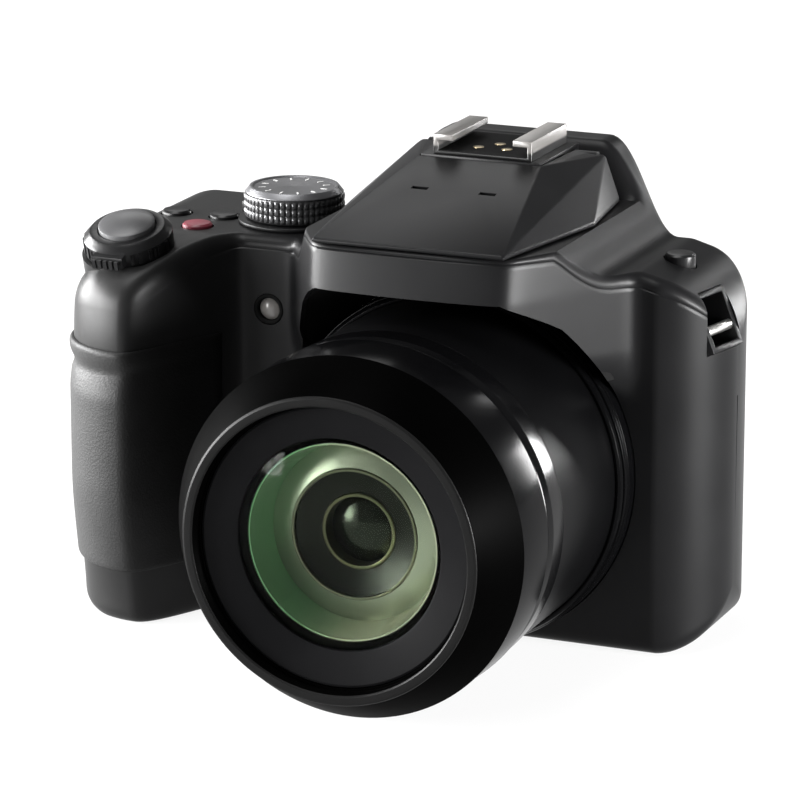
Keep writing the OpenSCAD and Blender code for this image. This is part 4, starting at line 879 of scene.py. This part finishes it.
rear = cover("rear_cover_skin", rear_rows, CAP_REAR, CAP_LOW)
rear_cuts = [
    on_rear("display_glass", FIT, low("display_glass").y, PAD_CUT[1], DISPLAY_R),
    on_rear("display_panel", FIT, REAR_D - WALL - THROUGH, REAR_D, PANEL_R),
    on_rear("viewfinder_lens", FINDER_GAP, REAR_D, REAR_D + HUMP_BACK + THROUGH, FINDER_R),
    on_rear("cursor_pad", BUTTON_GAP, *PAD_CUT, radius("cursor_pad")),
]
rear_cuts += [on_rear(b, BUTTON_GAP, *KEY_CUT, radius(b))
              for b in ("play_button", "lock_button", "menu_button", "view_button")]
thumb, diopter = middle("rear_dial"), middle("diopter_dial")
rear_cuts += [
    prism(disc(thumb.xy, radius("rear_dial") + BUTTON_GAP), "Z", thumb.z - THUMB_CUT, thumb.z + THUMB_CUT),
    prism(disc(diopter.xz, DIOPTER_R), "Y", *DIOPTER_CUT),
]
combine(rear, rear_cuts + lug_cuts() + foot_cuts())
place(rear, COVER, "camera", "cover_black", "rear_cover")

# Dark roof under the nose, between the lens and the flanks
CANOPY_T = 1.4
CANOPY_LOW = 56.0
CANOPY_IN = 0.9
canopy_top = NOSE_H - WALL
tip, root = NOSE_HALF - CANOPY_IN, NOSE_HALF + NOSE_D / FLANK_SLOPE - CANOPY_IN
nose_room = prism(
    [(-root, -PANEL_D + WALL), (-root, -PANEL_D), (-tip, -NOSE_FRONT + CANOPY_IN),
     (tip, -NOSE_FRONT + CANOPY_IN), (root, -PANEL_D), (root, -PANEL_D + WALL)],
    "Z", CANOPY_LOW, canopy_top)
roof = make_object("nose_roof", *common(tunnel(CANOPY_T, PANEL_D - WALL, NOSE_FRONT), nose_room))
combine(roof, [tunnel()])
place(roof, DEEP, "camera", "cover_black")

# Grip rubber: run of its rounded edge, thickness at the edge, and how far its back stands off the cover
LIP = 1.2
EDGE_T = 0.25
BACKING = 0.08
# Roll along the rubber's upper edge: groove below it as height under the edge, half width and depth
ROLL_DROP, ROLL_HALF, ROLL_DIP = 4.6, 2.4, 0.62


def rubber_offset(x, z):
    """Thickness of the rubber at a place, rounded off at its edges, with a groove under the upper roll."""
    near = min(z - RUBBER_LOW, RUBBER_HIGH - z, RUBBER_END - x, LIP) / LIP
    groove = ROLL_DIP * bump(z, RUBBER_HIGH - ROLL_DROP, ROLL_HALF)
    return EDGE_T + (RUBBER_T - EDGE_T - groove) * sqrt(max(0.0, 1 - (1 - near) ** 2))


rubber_stations = [st for st in STATIONS if st.side < 0 or (st.side == 0 and st.shape_x <= RUBBER_END)]
edge_rows = [LIP * (1 - cos(a)) for a in QUARTER]
rubber_z = ([RUBBER_LOW + e for e in edge_rows] + spread(RUBBER_LOW + LIP, RUBBER_HIGH - LIP, STEP_Z)[1:-1]
            + [RUBBER_HIGH - e for e in reversed(edge_rows)])


def rubber_grid(thick):
    rows = []
    for st in rubber_stations:
        depth = [(thick(st.shape_x, z), z) for z in rubber_z]
        rows.append([(st.x_at(-t), st.front(z, -t), z) for t, z in depth])
    return rows


rubber = shell_object("grip_rubber_skin", rubber_grid(rubber_offset), rubber_grid(lambda x, z: BACKING))
place(rubber, RUBBER, "camera", "grip_rubber", "grip_rubber")

# Flash lid: the CAD corners with rounded edges
LID_Z = low("flash_lid").z
LID_LIP = 0.9
LID_FRONT_X = NOSE_HALF - 0.5
LID_WIDE = (25.4, -9.0)
LID_ARM_X = 22.5
NOTCH_X, NOTCH_Y = 12.7, -5.3
HINGE_Y, HINGE_Z = middle("flash_hinge_pins").y, middle("flash_hinge_pins").z
KNUCKLE_R = 1.7
KNUCKLE_OUT_X = 17.8
ARM_EDGE, ARM_RISE = 0.1, 1.2
HINGE_OUT_X = 19.5
RIDGE_Z = HUMP_H - 0.6
MIC_AT = (7.0, -18.6)
MIC_SIZE = (3.4, 1.1)
MIC_DEPTH = 0.7
LID_WALL = 1.8
LID_HOLLOW = 7.2
LID_BEVEL, LID_BEVEL_STEPS = 0.35, 3
LID_WELD = 1e-7
LID_FLAT = radians(0.5)
KNUCKLE_GAP = 0.4
PIN_HOLE_R, PIN_OUT_X = 1.26, 17.6


def lid_half(sign):
    top_of_arm = HINGE_Z + KNUCKLE_R - ARM_EDGE
    lip_z = LID_Z + LID_LIP
    corners = [
        (0, -NOSE_FRONT, LID_Z), (LID_FRONT_X, -NOSE_FRONT, LID_Z), (*LID_WIDE, LID_Z),
        (LID_ARM_X, HINGE_Y, LID_Z), (NOTCH_X, HINGE_Y, LID_Z), (NOTCH_X, NOTCH_Y, LID_Z),
        (0, NOTCH_Y, LID_Z), (0, -NOSE_FRONT, lip_z), (LID_FRONT_X, -NOSE_FRONT, lip_z),
        (NOTCH_X, NOTCH_Y, RIDGE_Z), (0, NOTCH_Y, RIDGE_Z), (NOTCH_X, HINGE_Y, top_of_arm),
        (HINGE_OUT_X, HINGE_Y, HINGE_Z + ARM_RISE), (*LID_WIDE, lip_z), (LID_ARM_X, HINGE_Y, lip_z),
    ]
    faces = [
        (0, 1, 2, 3, 4, 5, 6), (7, 10, 9, 8), (0, 7, 8, 1), (1, 8, 13, 2), (2, 13, 14, 3), (8, 9, 12),
        (9, 11, 12), (8, 12, 13), (13, 12, 14), (3, 14, 12, 11, 4), (4, 11, 9, 5), (5, 9, 10, 6),
    ]
    return [(sign * x, y, z) for x, y, z in corners], faces


lid = make_object("flash_lid_shell", *merged([lid_half(1), lid_half(-1)]))
bm = bmesh.new()
bm.from_mesh(lid.data)
bmesh.ops.remove_doubles(bm, verts=bm.verts, dist=LID_WELD)
bmesh.ops.dissolve_limit(bm, angle_limit=LID_FLAT, verts=bm.verts, edges=bm.edges)
bmesh.ops.recalc_face_normals(bm, faces=bm.faces)
bmesh.ops.bevel(bm, geom=list(bm.edges), offset=LID_BEVEL * MM, segments=LID_BEVEL_STEPS, profile=0.5,
                affect="EDGES", clamp_overlap=True)
bm.to_mesh(lid.data)
bm.free()
soften(lid.data, FACET_SMOOTH)
lid_rise = (RIDGE_Z - LID_Z - LID_LIP) / (NOTCH_Y + NOSE_FRONT)


def lid_top(y):
    return LID_Z + LID_LIP + lid_rise * (y + NOSE_FRONT)


def on_hinge(r, near, far):
    """Round solids about the hinge, one on each arm."""
    return [prism(disc((HINGE_Y, HINGE_Z), r), "X", s * near, s * far) for s in (-1, 1)]


mic = block((-MIC_SIZE[0] / 2, MIC_SIZE[0] / 2), (-MIC_SIZE[1] / 2, MIC_SIZE[1] / 2), (-MIC_DEPTH, THROUGH))
tilt = Matrix.Rotation(atan(lid_rise), 4, "X")
mics = [moved(mic, Matrix.Translation((s * MIC_AT[0], MIC_AT[1], lid_top(MIC_AT[1]))) @ tilt)
        for s in (-1, 1)]
hollow_front, hollow_back = -NOSE_FRONT + LID_HOLLOW, NOTCH_Y - LID_WALL
hollow = prism([(hollow_front, LID_Z - THROUGH), (hollow_back, LID_Z - THROUGH),
                (hollow_back, lid_top(hollow_back) - LID_WALL),
                (hollow_front, lid_top(hollow_front) - LID_WALL)],
               "X", -NOTCH_X + LID_WALL, NOTCH_X - LID_WALL)
combine(lid, on_hinge(KNUCKLE_R, NOTCH_X + KNUCKLE_GAP, KNUCKLE_OUT_X), "UNION", FACET_SMOOTH)
pins = on_hinge(PIN_HOLE_R, NOTCH_X - THROUGH, PIN_OUT_X)
combine(lid, mics + [hollow] + pins, "DIFFERENCE", FACET_SMOOTH)
place(lid, COVER, "flash", "cover_black", "flash_lid")

# Lens sizes as radii and forward places
BARREL_R = radius("fixed_barrel")
FRONT_R = radius("front_ring")
COLLAR_R = radius("lens_base_ring")
COLLAR_BACK = 10.0
BARREL_BACK = -high("fixed_barrel").y
TRIM_R = radius("barrel_trim_ring")
TRIM = (-high("barrel_trim_ring").y, -low("barrel_trim_ring").y)
SCALE_R = radius("scale_ring")
SCALE = (-high("scale_ring").y, -low("scale_ring").y)
SCALE_T, SCALE_BEVEL = 4.3, 0.5
SHOULDER = SCALE[1]
SHOULDER_STEP = 0.4
BORE_R = radius("mid_barrel") + 0.3
BARREL_SEAT, TRIM_SEAT = BARREL_R - 0.4, BARREL_R - 0.38
SEAT_D = 18.0
FILTER_R = 27.5
GLASS_R = radius("front_element")
GLASS_FRONT = -low("front_element").y
NAME_BACK = -high("name_ring").y
NAME_FRONT = -low("name_ring").y
CELL_BACK = -high("front_ring").y
CELL_EDGE = -high("second_element").y + 5.0
CELL_R = radius("second_element") + FIT
CELL_T = 2.2
FLANGE_R = GLASS_R - 1.3
RIM_R = FILTER_R + 2.0
LAND_R, LAND_T = RIM_R + 0.05, 0.5
THREAD_D = 3.0
THREAD_PITCH = 0.62
THREADS, THREAD_START, THREAD_DEEP = 4, 0.6, 0.28
NAME_SEAT, NAME_R = FILTER_R - 0.5, FILTER_R - 0.6

# Edges of the rings as steps inwards and forwards
COLLAR_BEADS = ((0.0, -1.2), (0.35, -0.9), (0.35, -0.6), (0.05, -0.3), (0.3, 0.4), (0.8, 0.45), (0.8, 0.75),
                (0.45, 0.9), (0.75, 1.6), (1.2, 2.0))
BARREL_EDGE = ((0.0, -0.35), (0.3, -0.1))
TRIM_REAR = ((0.3, 0.0), (0.05, 0.6), (0.0, 3.0))
TRIM_FRONT = ((0.0, -2.2), (0.35, -0.4), (0.6, 0.0))
LAND_OUT = ((0.1, -0.2), (0.5, 0.0))
LAND_IN = ((-0.3, 0.0), (0.0, -0.25))
NAME_OUT = ((0.6, -0.2), (1.1, 0.0))
NAME_IN = ((-0.7, -1.7), (-0.1, -1.9))

collar_r, collar_front = BARREL_R + FIT, SEAT_D + COLLAR_BEADS[-1][1]
# The collar is cut off at the base, like its solid
below = block((-COLLAR_R, COLLAR_R), (-2 * SEAT_D, 0), (-SEAT_D, low("lens_base_ring").z))
lathe("lens_collar", [(collar_r, COLLAR_BACK), (COLLAR_R, COLLAR_BACK)]
      + offsets(COLLAR_R, SEAT_D, COLLAR_BEADS) + [(collar_r, collar_front)], 0.12,
      GLOSS, "camera", "lens_black", "lens_base_ring", cuts=[below])
lathe("lens_barrel", [(BORE_R, BARREL_BACK), (BARREL_R, BARREL_BACK)]
      + offsets(BARREL_R, TRIM[0], BARREL_EDGE) + [(BARREL_SEAT, TRIM[1]), (BORE_R, TRIM[1])], 0.12,
      SATIN, "camera", "lens_black", "fixed_barrel")
lathe("lens_trim_band", [(TRIM_SEAT, TRIM[0])] + offsets(TRIM_R, TRIM[0], TRIM_REAR)
      + offsets(TRIM_R, TRIM[1], TRIM_FRONT) + [(TRIM_SEAT, TRIM[1])], 0.3,
      POLISH, "camera", "lens_gloss", "barrel_trim_ring")
lathe("lens_scale_band", [
    (SCALE_R - SCALE_T, SCALE[0]), (SCALE_R - SCALE_BEVEL, SCALE[0]), (SCALE_R, SCALE[0] + SCALE_BEVEL),
    (FRONT_R - SHOULDER_STEP, SHOULDER - SHOULDER_STEP), (FRONT_R - 2 * SHOULDER_STEP, SHOULDER),
    (SCALE_R - SCALE_T, SHOULDER)], 0.15, GLOSS, "lens_front", "lens_gloss", "scale_ring")

threads = []
for k in range(THREADS):
    f = RIM_D - THREAD_START - k * THREAD_PITCH
    threads += [(FILTER_R, f), (FILTER_R + THREAD_DEEP, f - THREAD_PITCH / 2)]
lathe("lens_front_ring", [
    (CELL_R, CELL_BACK), (CELL_R + CELL_T, CELL_BACK), (CELL_R + CELL_T, SHOULDER),
    (FRONT_R - SHOULDER_STEP, SHOULDER), (FRONT_R, SHOULDER + SHOULDER_STEP),
    (LAND_R, RIM_D - LAND_T), (FILTER_R, RIM_D - LAND_T)] + threads + [
    (FILTER_R, RIM_D - THREAD_D), (NAME_SEAT, RIM_D - THREAD_D), (NAME_SEAT, NAME_BACK),
    (FLANGE_R, NAME_BACK), (CELL_R, CELL_EDGE)], 0.1, CONE, "lens_front", "lens_gloss", "front_ring")
lathe("lens_rim_land", [(FILTER_R, RIM_D - LAND_T), (LAND_R, RIM_D - LAND_T)]
      + offsets(RIM_R, RIM_D, LAND_OUT) + offsets(FILTER_R, RIM_D, LAND_IN), 0.1,
      LAND, "lens_front", "lens_black")
lathe("lens_name_ring", [(GLASS_R + FIT, NAME_BACK), (NAME_R, NAME_BACK)]
      + offsets(FILTER_R, NAME_FRONT, NAME_OUT) + offsets(GLASS_R, NAME_FRONT, NAME_IN), 0.2,
      NAME, "lens_front", "lens_black", "name_ring")

# Front glass and the coated surfaces behind it
GLASS_SAG, GLASS_BACK_SAG = 2.5, 0.5
GLASS_STEP = 1.4
GLASS_BACK = NAME_BACK + 0.2
DOME_STEPS = 14


def dome(r, f_edge, sag, r_in=AXIS_R):
    """Points of a spherical cap from its edge inwards."""
    big = (r * r + sag * sag) / (2 * abs(sag))
    points = []
    for k in range(DOME_STEPS + 1):
        x = lerp(r, r_in, k / DOME_STEPS)
        rise = sqrt(big * big - x * x) - (big - abs(sag))
        points.append((x, f_edge + copysign(rise, sag)))
    return points


def coating(name, colour, roughness, metallic=0.9, patch=0.1):
    return surface(name, colour, roughness, grain_mm=0.8, grain=0.0, patch=patch, metallic=metallic)


# The cell's wall is painted green on the grip's side of the axis and pale on the other: a painted
# reflection, the green crescent that the coating shows on one side only
PAINTED_CRESCENT_GREEN, WALL_PALE = (0.10, 0.22, 0.11), (0.30, 0.31, 0.23)
PAINTED_CRESCENT_TURN = (-12.0, 4.0)
COATING = coating("coating_pale", (0.25, 0.275, 0.21), 0.32, 0.85, 0.15)
PAINTED_CRESCENT_COAT = coating("coating_painted_crescent", PAINTED_CRESCENT_GREEN, 0.35, 0.7)
INNER_COAT = coating("coating_dark", (0.007, 0.008, 0.006), 0.35)
RIM_COAT = coating("coating_rim", (0.08, 0.085, 0.055), 0.3)
AMBER = coating("coating_amber", (0.07, 0.072, 0.04), 0.3)
CORE_COAT = coating("coating_core", (0.014, 0.017, 0.012), 0.2)
two_tone(PAINTED_CRESCENT_COAT, PAINTED_CRESCENT_GREEN, WALL_PALE, "X", PAINTED_CRESCENT_TURN)

lathe("front_glass", dome(GLASS_R, GLASS_FRONT - GLASS_SAG, GLASS_SAG)
      + list(reversed(dome(GLASS_R - GLASS_STEP, GLASS_BACK, GLASS_BACK_SAG)))
      + [(GLASS_R, GLASS_BACK)], 0.0,
      FRONT_GLASS, "lens_front", "lens_glass", "front_element")
# Coat on the cell's wall: gap and depth at the flange and at the cell, and its set-in from both ends
COAT_FLANGE, COAT_CELL = (0.05, 0.35), (0.02, 0.3)
COAT_IN = 0.1
# The cell's wall carries the painted reflection: green on one side of the axis only
lathe("lens_cell_wall", [
    (FLANGE_R - COAT_FLANGE[0], NAME_BACK - COAT_IN), (CELL_R - COAT_CELL[0], CELL_EDGE + COAT_IN),
    (CELL_R - COAT_CELL[1], CELL_EDGE + COAT_IN), (FLANGE_R - COAT_FLANGE[1], NAME_BACK - COAT_IN)], 0.0,
    PAINTED_CRESCENT_COAT, "lens_front", "lens_glass")

# Second group: a pale domed glass round a dished and a domed inner glass, with a thin rim between each
SECOND_R = radius("second_element")
SECOND_SAG = 3.6
RIM_A, RIM_B = (12.6, 12.0), (7.3, 6.6)
RIM_A_OUT, RIM_A_IN = ((0.0, -1.0), (0.0, 1.9), (0.15, 2.05)), ((0.0, 2.0), (0.1, -1.0))
RIM_B_OUT, RIM_B_IN = ((0.0, -3.0), (0.0, -0.3), (0.2, -0.15)), ((0.0, -0.2), (0.2, -3.2))
DISH_UP, DISH_SAG = 1.0, 2.4
CORE_DROP, CORE_SAG = 3.0, 2.2
SECOND_STEP = 0.2
SECOND_BACK, THIRD_BACK, CORE_BACK = CELL_EDGE - 2.0, CELL_EDGE - 4.0, CELL_EDGE - 4.5
lathe("second_group_glass", dome(SECOND_R, CELL_EDGE, SECOND_SAG, RIM_A[0])
      + [(RIM_A[0] - SECOND_STEP, SECOND_BACK), (SECOND_R, SECOND_BACK)], 0.05,
      COATING, "lens_front", "lens_glass", "second_element")
lathe("second_group_rim", offsets(RIM_A[0], CELL_EDGE, RIM_A_OUT) + offsets(RIM_A[1], CELL_EDGE, RIM_A_IN),
      0.08, RIM_COAT, "lens_front", "lens_glass")
lathe("third_group_glass", dome(RIM_A[1], CELL_EDGE + DISH_UP, -DISH_SAG, RIM_B[0])
      + [(RIM_B[0], THIRD_BACK), (RIM_A[1], THIRD_BACK)], 0.05, INNER_COAT, "lens_front", "lens_glass")
lathe("third_group_rim", offsets(RIM_B[0], CELL_EDGE, RIM_B_OUT) + offsets(RIM_B[1], CELL_EDGE, RIM_B_IN),
      0.1, AMBER, "lens_front", "lens_glass")
lathe("inner_group_glass", dome(RIM_B[1], CELL_EDGE - CORE_DROP, CORE_SAG)
      + [(AXIS_R, CORE_BACK), (RIM_B[1], CORE_BACK)], 0.0, CORE_COAT, "lens_front", "lens_glass")

# Focus lamp: a small dome in a dark ring
LAMP_RING, LAMP_LIP, LAMP_GAP = 0.8, 0.2, 0.05
LAMP_SAG = 0.8
LAMP_BACK = PANEL_D - 2.0


def lamp_piece(name, profile):
    return make_object(name, *lens_grid(profile, LAMP_COUNT, LAMP_AT), LAMP_SMOOTH)


ring_r = LAMP_R - LAMP_RING
dome_r = ring_r - LAMP_GAP
lamp_ring = lamp_piece("focus_lamp_ring", [
    (ring_r, LAMP_BACK), (LAMP_R, LAMP_BACK), (LAMP_R, PANEL_D), (LAMP_R - LAMP_LIP, PANEL_D + LAMP_LIP),
    (ring_r + LAMP_LIP, PANEL_D + LAMP_LIP), (ring_r, PANEL_D)])
place(lamp_ring, DEEP, "camera", "cover_black")
lamp_dome = lamp_piece("focus_lamp_dome", dome(dome_r, PANEL_D - LAMP_SAG, LAMP_SAG)
                       + [(AXIS_R, LAMP_BACK), (dome_r, LAMP_BACK)])
place(lamp_dome, LAMP, "camera", "lens_glass", "focus_lamp_lens")

# Mode dial with three rows of diamond knurls
SWITCH_T, SWITCH_GAP = 1.5, 1.2
DIAL_LOW = low("mode_dial").z + WALL + SWITCH_T + SWITCH_GAP
DIAL_TOP = high("mode_dial").z
DIAL_AT = middle("mode_dial")
DIAL_R = radius("mode_dial")
KNURL_COLUMNS = 52
KNURL_ROWS = 3
KNURL_OUT = 0.32
KNURL_SUB = 4
KNURL_STEEP = 1.6
KNURL_ROOT = DIAL_R - 0.3
KNURL_MARGIN = 0.3
DIAL_FOOT = (DIAL_R - 0.7, DIAL_R - 0.4)
DIAL_TOP_IN = 1.2
CAP_R = DIAL_R - 0.25
# Dish of the dial's cap: its outer and inner edge from the rim, and its depth
DISH_EDGE, DISH_IN, DISH_DEEP = 0.5, 0.9, 0.3


def dial_piece():
    z0, z1 = DIAL_LOW + KNURL_MARGIN, DIAL_TOP - DIAL_TOP_IN - KNURL_MARGIN
    rows = [(DIAL_STEM_R, DIAL_LOW), (DIAL_FOOT[0], DIAL_LOW), (DIAL_FOOT[1], z0)]
    knurl_first = len(rows)
    steps = KNURL_ROWS * KNURL_SUB
    rows += [(KNURL_ROOT, lerp(z0, z1, k / steps)) for k in range(steps + 1)]
    knurl_last = len(rows) - 1
    rows += [(KNURL_ROOT, z1 + KNURL_MARGIN / 2), (CAP_R, z1 + KNURL_MARGIN), (AXIS_R, z1 + KNURL_MARGIN)]
    columns = KNURL_COLUMNS * KNURL_SUB
    verts, faces = [], []
    for c in range(columns):
        a = 2 * pi * c / columns
        for k, (r, z) in enumerate(rows):
            if knurl_first <= k <= knurl_last:
                u = (c % KNURL_SUB) / KNURL_SUB
                v = ((k - knurl_first) % KNURL_SUB) / KNURL_SUB
                peak = 1 - max(abs(2 * u - 1), abs(2 * v - 1))
                r += KNURL_OUT * min(1.0, KNURL_STEEP * peak)
            verts.append((DIAL_AT.x + r * cos(a), DIAL_AT.y + r * sin(a), z))
    n = len(rows)
    for c in range(columns):
        c2 = (c + 1) % columns
        faces += [(c * n + k, c2 * n + k, c2 * n + k + 1, c * n + k + 1) for k in range(n - 1)]
        faces.append((c * n, c * n + n - 1, c2 * n + n - 1, c2 * n))
    return make_object("mode_dial_knurled", verts, faces, FACET_SMOOTH)


place(dial_piece(), KNURL, "dial", "dial_grey", "mode_dial")


def dial_cap():
    """Bevelled cap of the dial, with a shallow dish."""
    rim, z0 = DIAL_R - DIAL_TOP_IN, DIAL_TOP - DIAL_TOP_IN
    rows = fillet([(AXIS_R, z0), (CAP_R, z0), (rim, DIAL_TOP), (rim - DISH_EDGE, DIAL_TOP),
                   (rim - DISH_IN, DIAL_TOP - DISH_DEEP), (AXIS_R, DIAL_TOP - DISH_DEEP)], 0.12)
    verts, faces = lens_grid(rows, CAP_COUNT, (0.0, 0.0))
    verts = [(DIAL_AT.x + x, DIAL_AT.y + z, -y) for x, y, z in verts]
    return make_object("mode_dial_cap", verts, faces, FACET_SMOOTH)


place(dial_cap(), DIAL, "dial", "dial_grey")

# Plain marks on the dial's cap, one for each stop
MARK_COUNT = 12
MARK_SIZE = (1.5, 0.34)
MARK_OUT = 6.4
MARK_R, MARK_STEPS = 0.15, 3
MARK_Z = (-0.05, 0.06)
mark = prism(rounded_rect((MARK_OUT, 0), *MARK_SIZE, MARK_R, MARK_STEPS), "Z", *MARK_Z)
dish = Matrix.Translation((DIAL_AT.x, DIAL_AT.y, DIAL_TOP - DISH_DEEP))
marks = [moved(mark, dish @ Matrix.Rotation(2 * pi * k / MARK_COUNT, 4, "Z")) for k in range(MARK_COUNT)]
place(make_object("mode_dial_marks", *merged(marks)), MARK, "dial", "dial_grey")

# Ribs on the front of the zoom lever and on its tab
RIB_W, RIB_OUT = 0.7, 0.22
RIB_Z = (0.9, 3.2)
RIB_ANGLES = (-172, -158, -144, -130, -50, -36, -22, -8)
TAB_FRONT, TAB_Z = 10.98, (1.4, 3.2)
TAB_RIBS = (-2.4, -1.2, 0.0, 1.2, 2.4)
RIB_ROOT = 0.3
ribs = [moved(block((LEVER_R - RIB_ROOT, LEVER_R + RIB_OUT), (-RIB_W / 2, RIB_W / 2), RIB_Z),
              Matrix.Rotation(radians(a), 4, "Z")) for a in RIB_ANGLES]
ribs += [block((x - RIB_W / 2, x + RIB_W / 2), (-TAB_FRONT - RIB_OUT, -TAB_FRONT + RIB_ROOT), TAB_Z)
         for x in TAB_RIBS]
ribs = merged([moved(rib, LEVER_TILT) for rib in ribs])
place(make_object("zoom_lever_ribs", *ribs), BUTTON, "zoom", "dial_grey")

# CAD pieces that keep their shape: rounded edges and a finish
EDGE_R, EDGE_STEPS = 0.2, 2
WELD_M = 1e-6


def dress(node, mat):
    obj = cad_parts[node]
    paint(obj, mat)
    obj.data.shade_smooth()
    weld = obj.modifiers.new("weld", "WELD")
    weld.merge_threshold = WELD_M
    bevel = obj.modifiers.new("bevel", "BEVEL")
    bevel.width = EDGE_R * MM
    bevel.segments = EDGE_STEPS
    bevel.limit_method = "ANGLE"
    bevel.angle_limit = radians(SMOOTH)
    bevel.harden_normals = True


FINISH = {
    COVER: ("flash_head", "shoe_block", "power_switch", "battery_door", "lug_pockets", "display_panel",
            "viewfinder_display", "terminal_door"),
    BUTTON: ("zoom_lever", "drive_button", "burst_button", "flash_button", "diopter_dial", "rear_dial",
             "cursor_pad", "set_button", "play_button", "view_button", "lock_button", "menu_button"),
    RUBBER: ("eyecup",),
    SHUTTER: ("shutter_button",),
    SATIN: ("mid_barrel", "iris_ring", "front_tube"),
    RED: ("video_button",),
    RAIL: ("shoe_rails",),
    STEEL: ("chassis", "lens_rear_plate", "sensor_plate", "flash_hinge_pins", "battery_door_pin",
            "terminal_sockets", "tripod_socket", "strap_lugs"),
    BRASS: ("shoe_contacts",),
    SCREEN: ("display_glass", "viewfinder_lens", "relay_lens", "image_sensor"),
    CARD: ("memory_card",),
    CELL: ("battery", "battery_latch"),
    BOARD: ("main_board",),
    CLEAR: ("flash_window",),
}
for mat, nodes in FINISH.items():
    for node in nodes:
        dress(node, mat)

# The shoe's plate is black and only its lips are bare
rail_low, rail_high = low("shoe_rails"), high("shoe_rails")
LIP_Z = (rail_low.z + 1.3, rail_low.z + 1.9)
two_tone(RAIL, RAIL_DARK, RAIL_BARE, "Z", LIP_Z)
SHOE_W, SHOE_R, SHOE_IN = 18.4, 0.5, 0.2
SHOE_Z = (low("shoe_contacts").z - 0.1, low("shoe_contacts").z + 0.15)
shoe_plan = rounded_rect((0, (rail_low.y + rail_high.y) / 2), SHOE_W,
                         rail_high.y - rail_low.y - SHOE_IN, SHOE_R)
shoe_floor = make_object("shoe_floor", *prism(shoe_plan, "Z", *SHOE_Z))
place(shoe_floor, DEEP, "camera", "cover_black")

# Camera at the photograph's viewing angle
AZIMUTH = radians(22.84)
ELEVATION = radians(15.46)
DISTANCE = 901.0
TARGET = Vector((0, -18.0, AXIS_H))
SHIFT_RIGHT, SHIFT_UP = 10.5, -12.95
FOCAL_PX = 4620.0
FRAME_PX = 800.0
SENSOR = 36.0
CLIP_M = (0.01, 50)
toward = Vector((sin(AZIMUTH) * cos(ELEVATION), -cos(AZIMUTH) * cos(ELEVATION), sin(ELEVATION)))
right_way = Vector((cos(AZIMUTH), sin(AZIMUTH), 0))
up_way = toward.cross(right_way)
eye = TARGET - right_way * SHIFT_RIGHT - up_way * SHIFT_UP + toward * DISTANCE
camera = bpy.data.objects.new("view_camera", bpy.data.cameras.new("view_camera"))
bpy.context.collection.objects.link(camera)
camera.location = eye * MM
camera.rotation_euler = (-toward).to_track_quat("-Z", "Y").to_euler()
camera.data.sensor_width = SENSOR
camera.data.lens = FOCAL_PX * SENSOR / FRAME_PX
camera.data.clip_start, camera.data.clip_end = CLIP_M
bpy.context.scene.camera = camera

# Floor, world and lamps
FLOOR_HALF = 6000.0
FLOOR_SHADOW = 0.12
FLOOR_TONE, FLOOR_ROUGH = (0.8, 0.8, 0.8, 1), 0.9
WORLD_LIGHT = 0.22
AIM = Vector((0, -15, 45))
floor_corners = [(x * FLOOR_HALF, y * FLOOR_HALF, 0) for x, y in ((-1, -1), (1, -1), (1, 1), (-1, 1))]
floor = make_object("floor", floor_corners, [(0, 1, 2, 3)])


def seen_ray(tree):
    """1 for camera, glossy and transmission rays, so that gloss and glass show the white surround too."""
    path = add(tree, "ShaderNodeLightPath")
    seen = (path, "Is Camera Ray")
    for ray in ("Is Glossy Ray", "Is Transmission Ray"):
        either = add(tree, "ShaderNodeMath", operation="MAXIMUM")
        link(*seen, either, 0)
        link(path, ray, either, 1)
        seen = (either, 0)
    return seen


floor_mat, shader = node_material("floor_white")
tree = floor_mat.node_tree
put(shader, {"Base Color": FLOOR_TONE, "Roughness": FLOOR_ROUGH})
glow = add(tree, "ShaderNodeEmission", Strength=1.0)
share = add(tree, "ShaderNodeMath", operation="MULTIPLY")
put(share, {1: 1 - FLOOR_SHADOW})
blend = add(tree, "ShaderNodeMixShader")
link(*seen_ray(tree), share, 0)
link(share, 0, blend, "Fac")
link(shader, 0, blend, 1)
link(glow, 0, blend, 2)
link(blend, 0, tree.nodes["Material Output"], "Surface")
paint(floor, floor_mat)

world = bpy.data.worlds.new("studio")
bpy.context.scene.world = world
world.use_nodes = True
put(world.node_tree.nodes["Background"], {"Strength": WORLD_LIGHT, "Color": (1, 1, 1, 1)})


def lamp(name, position, size, power):
    """Soft box that faces the object's middle."""
    data = bpy.data.lights.new(name, "AREA")
    data.shape = "RECTANGLE"
    data.size, data.size_y = size[0] * MM, size[1] * MM
    data.energy = power
    obj = bpy.data.objects.new(name, data)
    bpy.context.collection.objects.link(obj)
    obj.location = Vector(position) * MM
    obj.rotation_euler = (AIM - Vector(position)).to_track_quat("-Z", "Y").to_euler()


lamp("left_box", (-860, -120, 200), (760, 420), 62.0)
lamp("front_left_box", (-690, -580, 150), (460, 280), 25.0)
lamp("right_box", (820, -90, 115), (360, 210), 36.0)
lamp("top_box", (-150, -200, 900), (500, 500), 9.0)
lamp("rear_strip", (430, 850, 150), (130, 200), 5.2)
lamp("rear_strip_high", (200, 760, 380), (70, 140), 0.4)
lamp("rear_top_box", (-360, 640, 640), (420, 420), 1.25)

bpy.context.scene.view_settings.view_transform = "Standard"
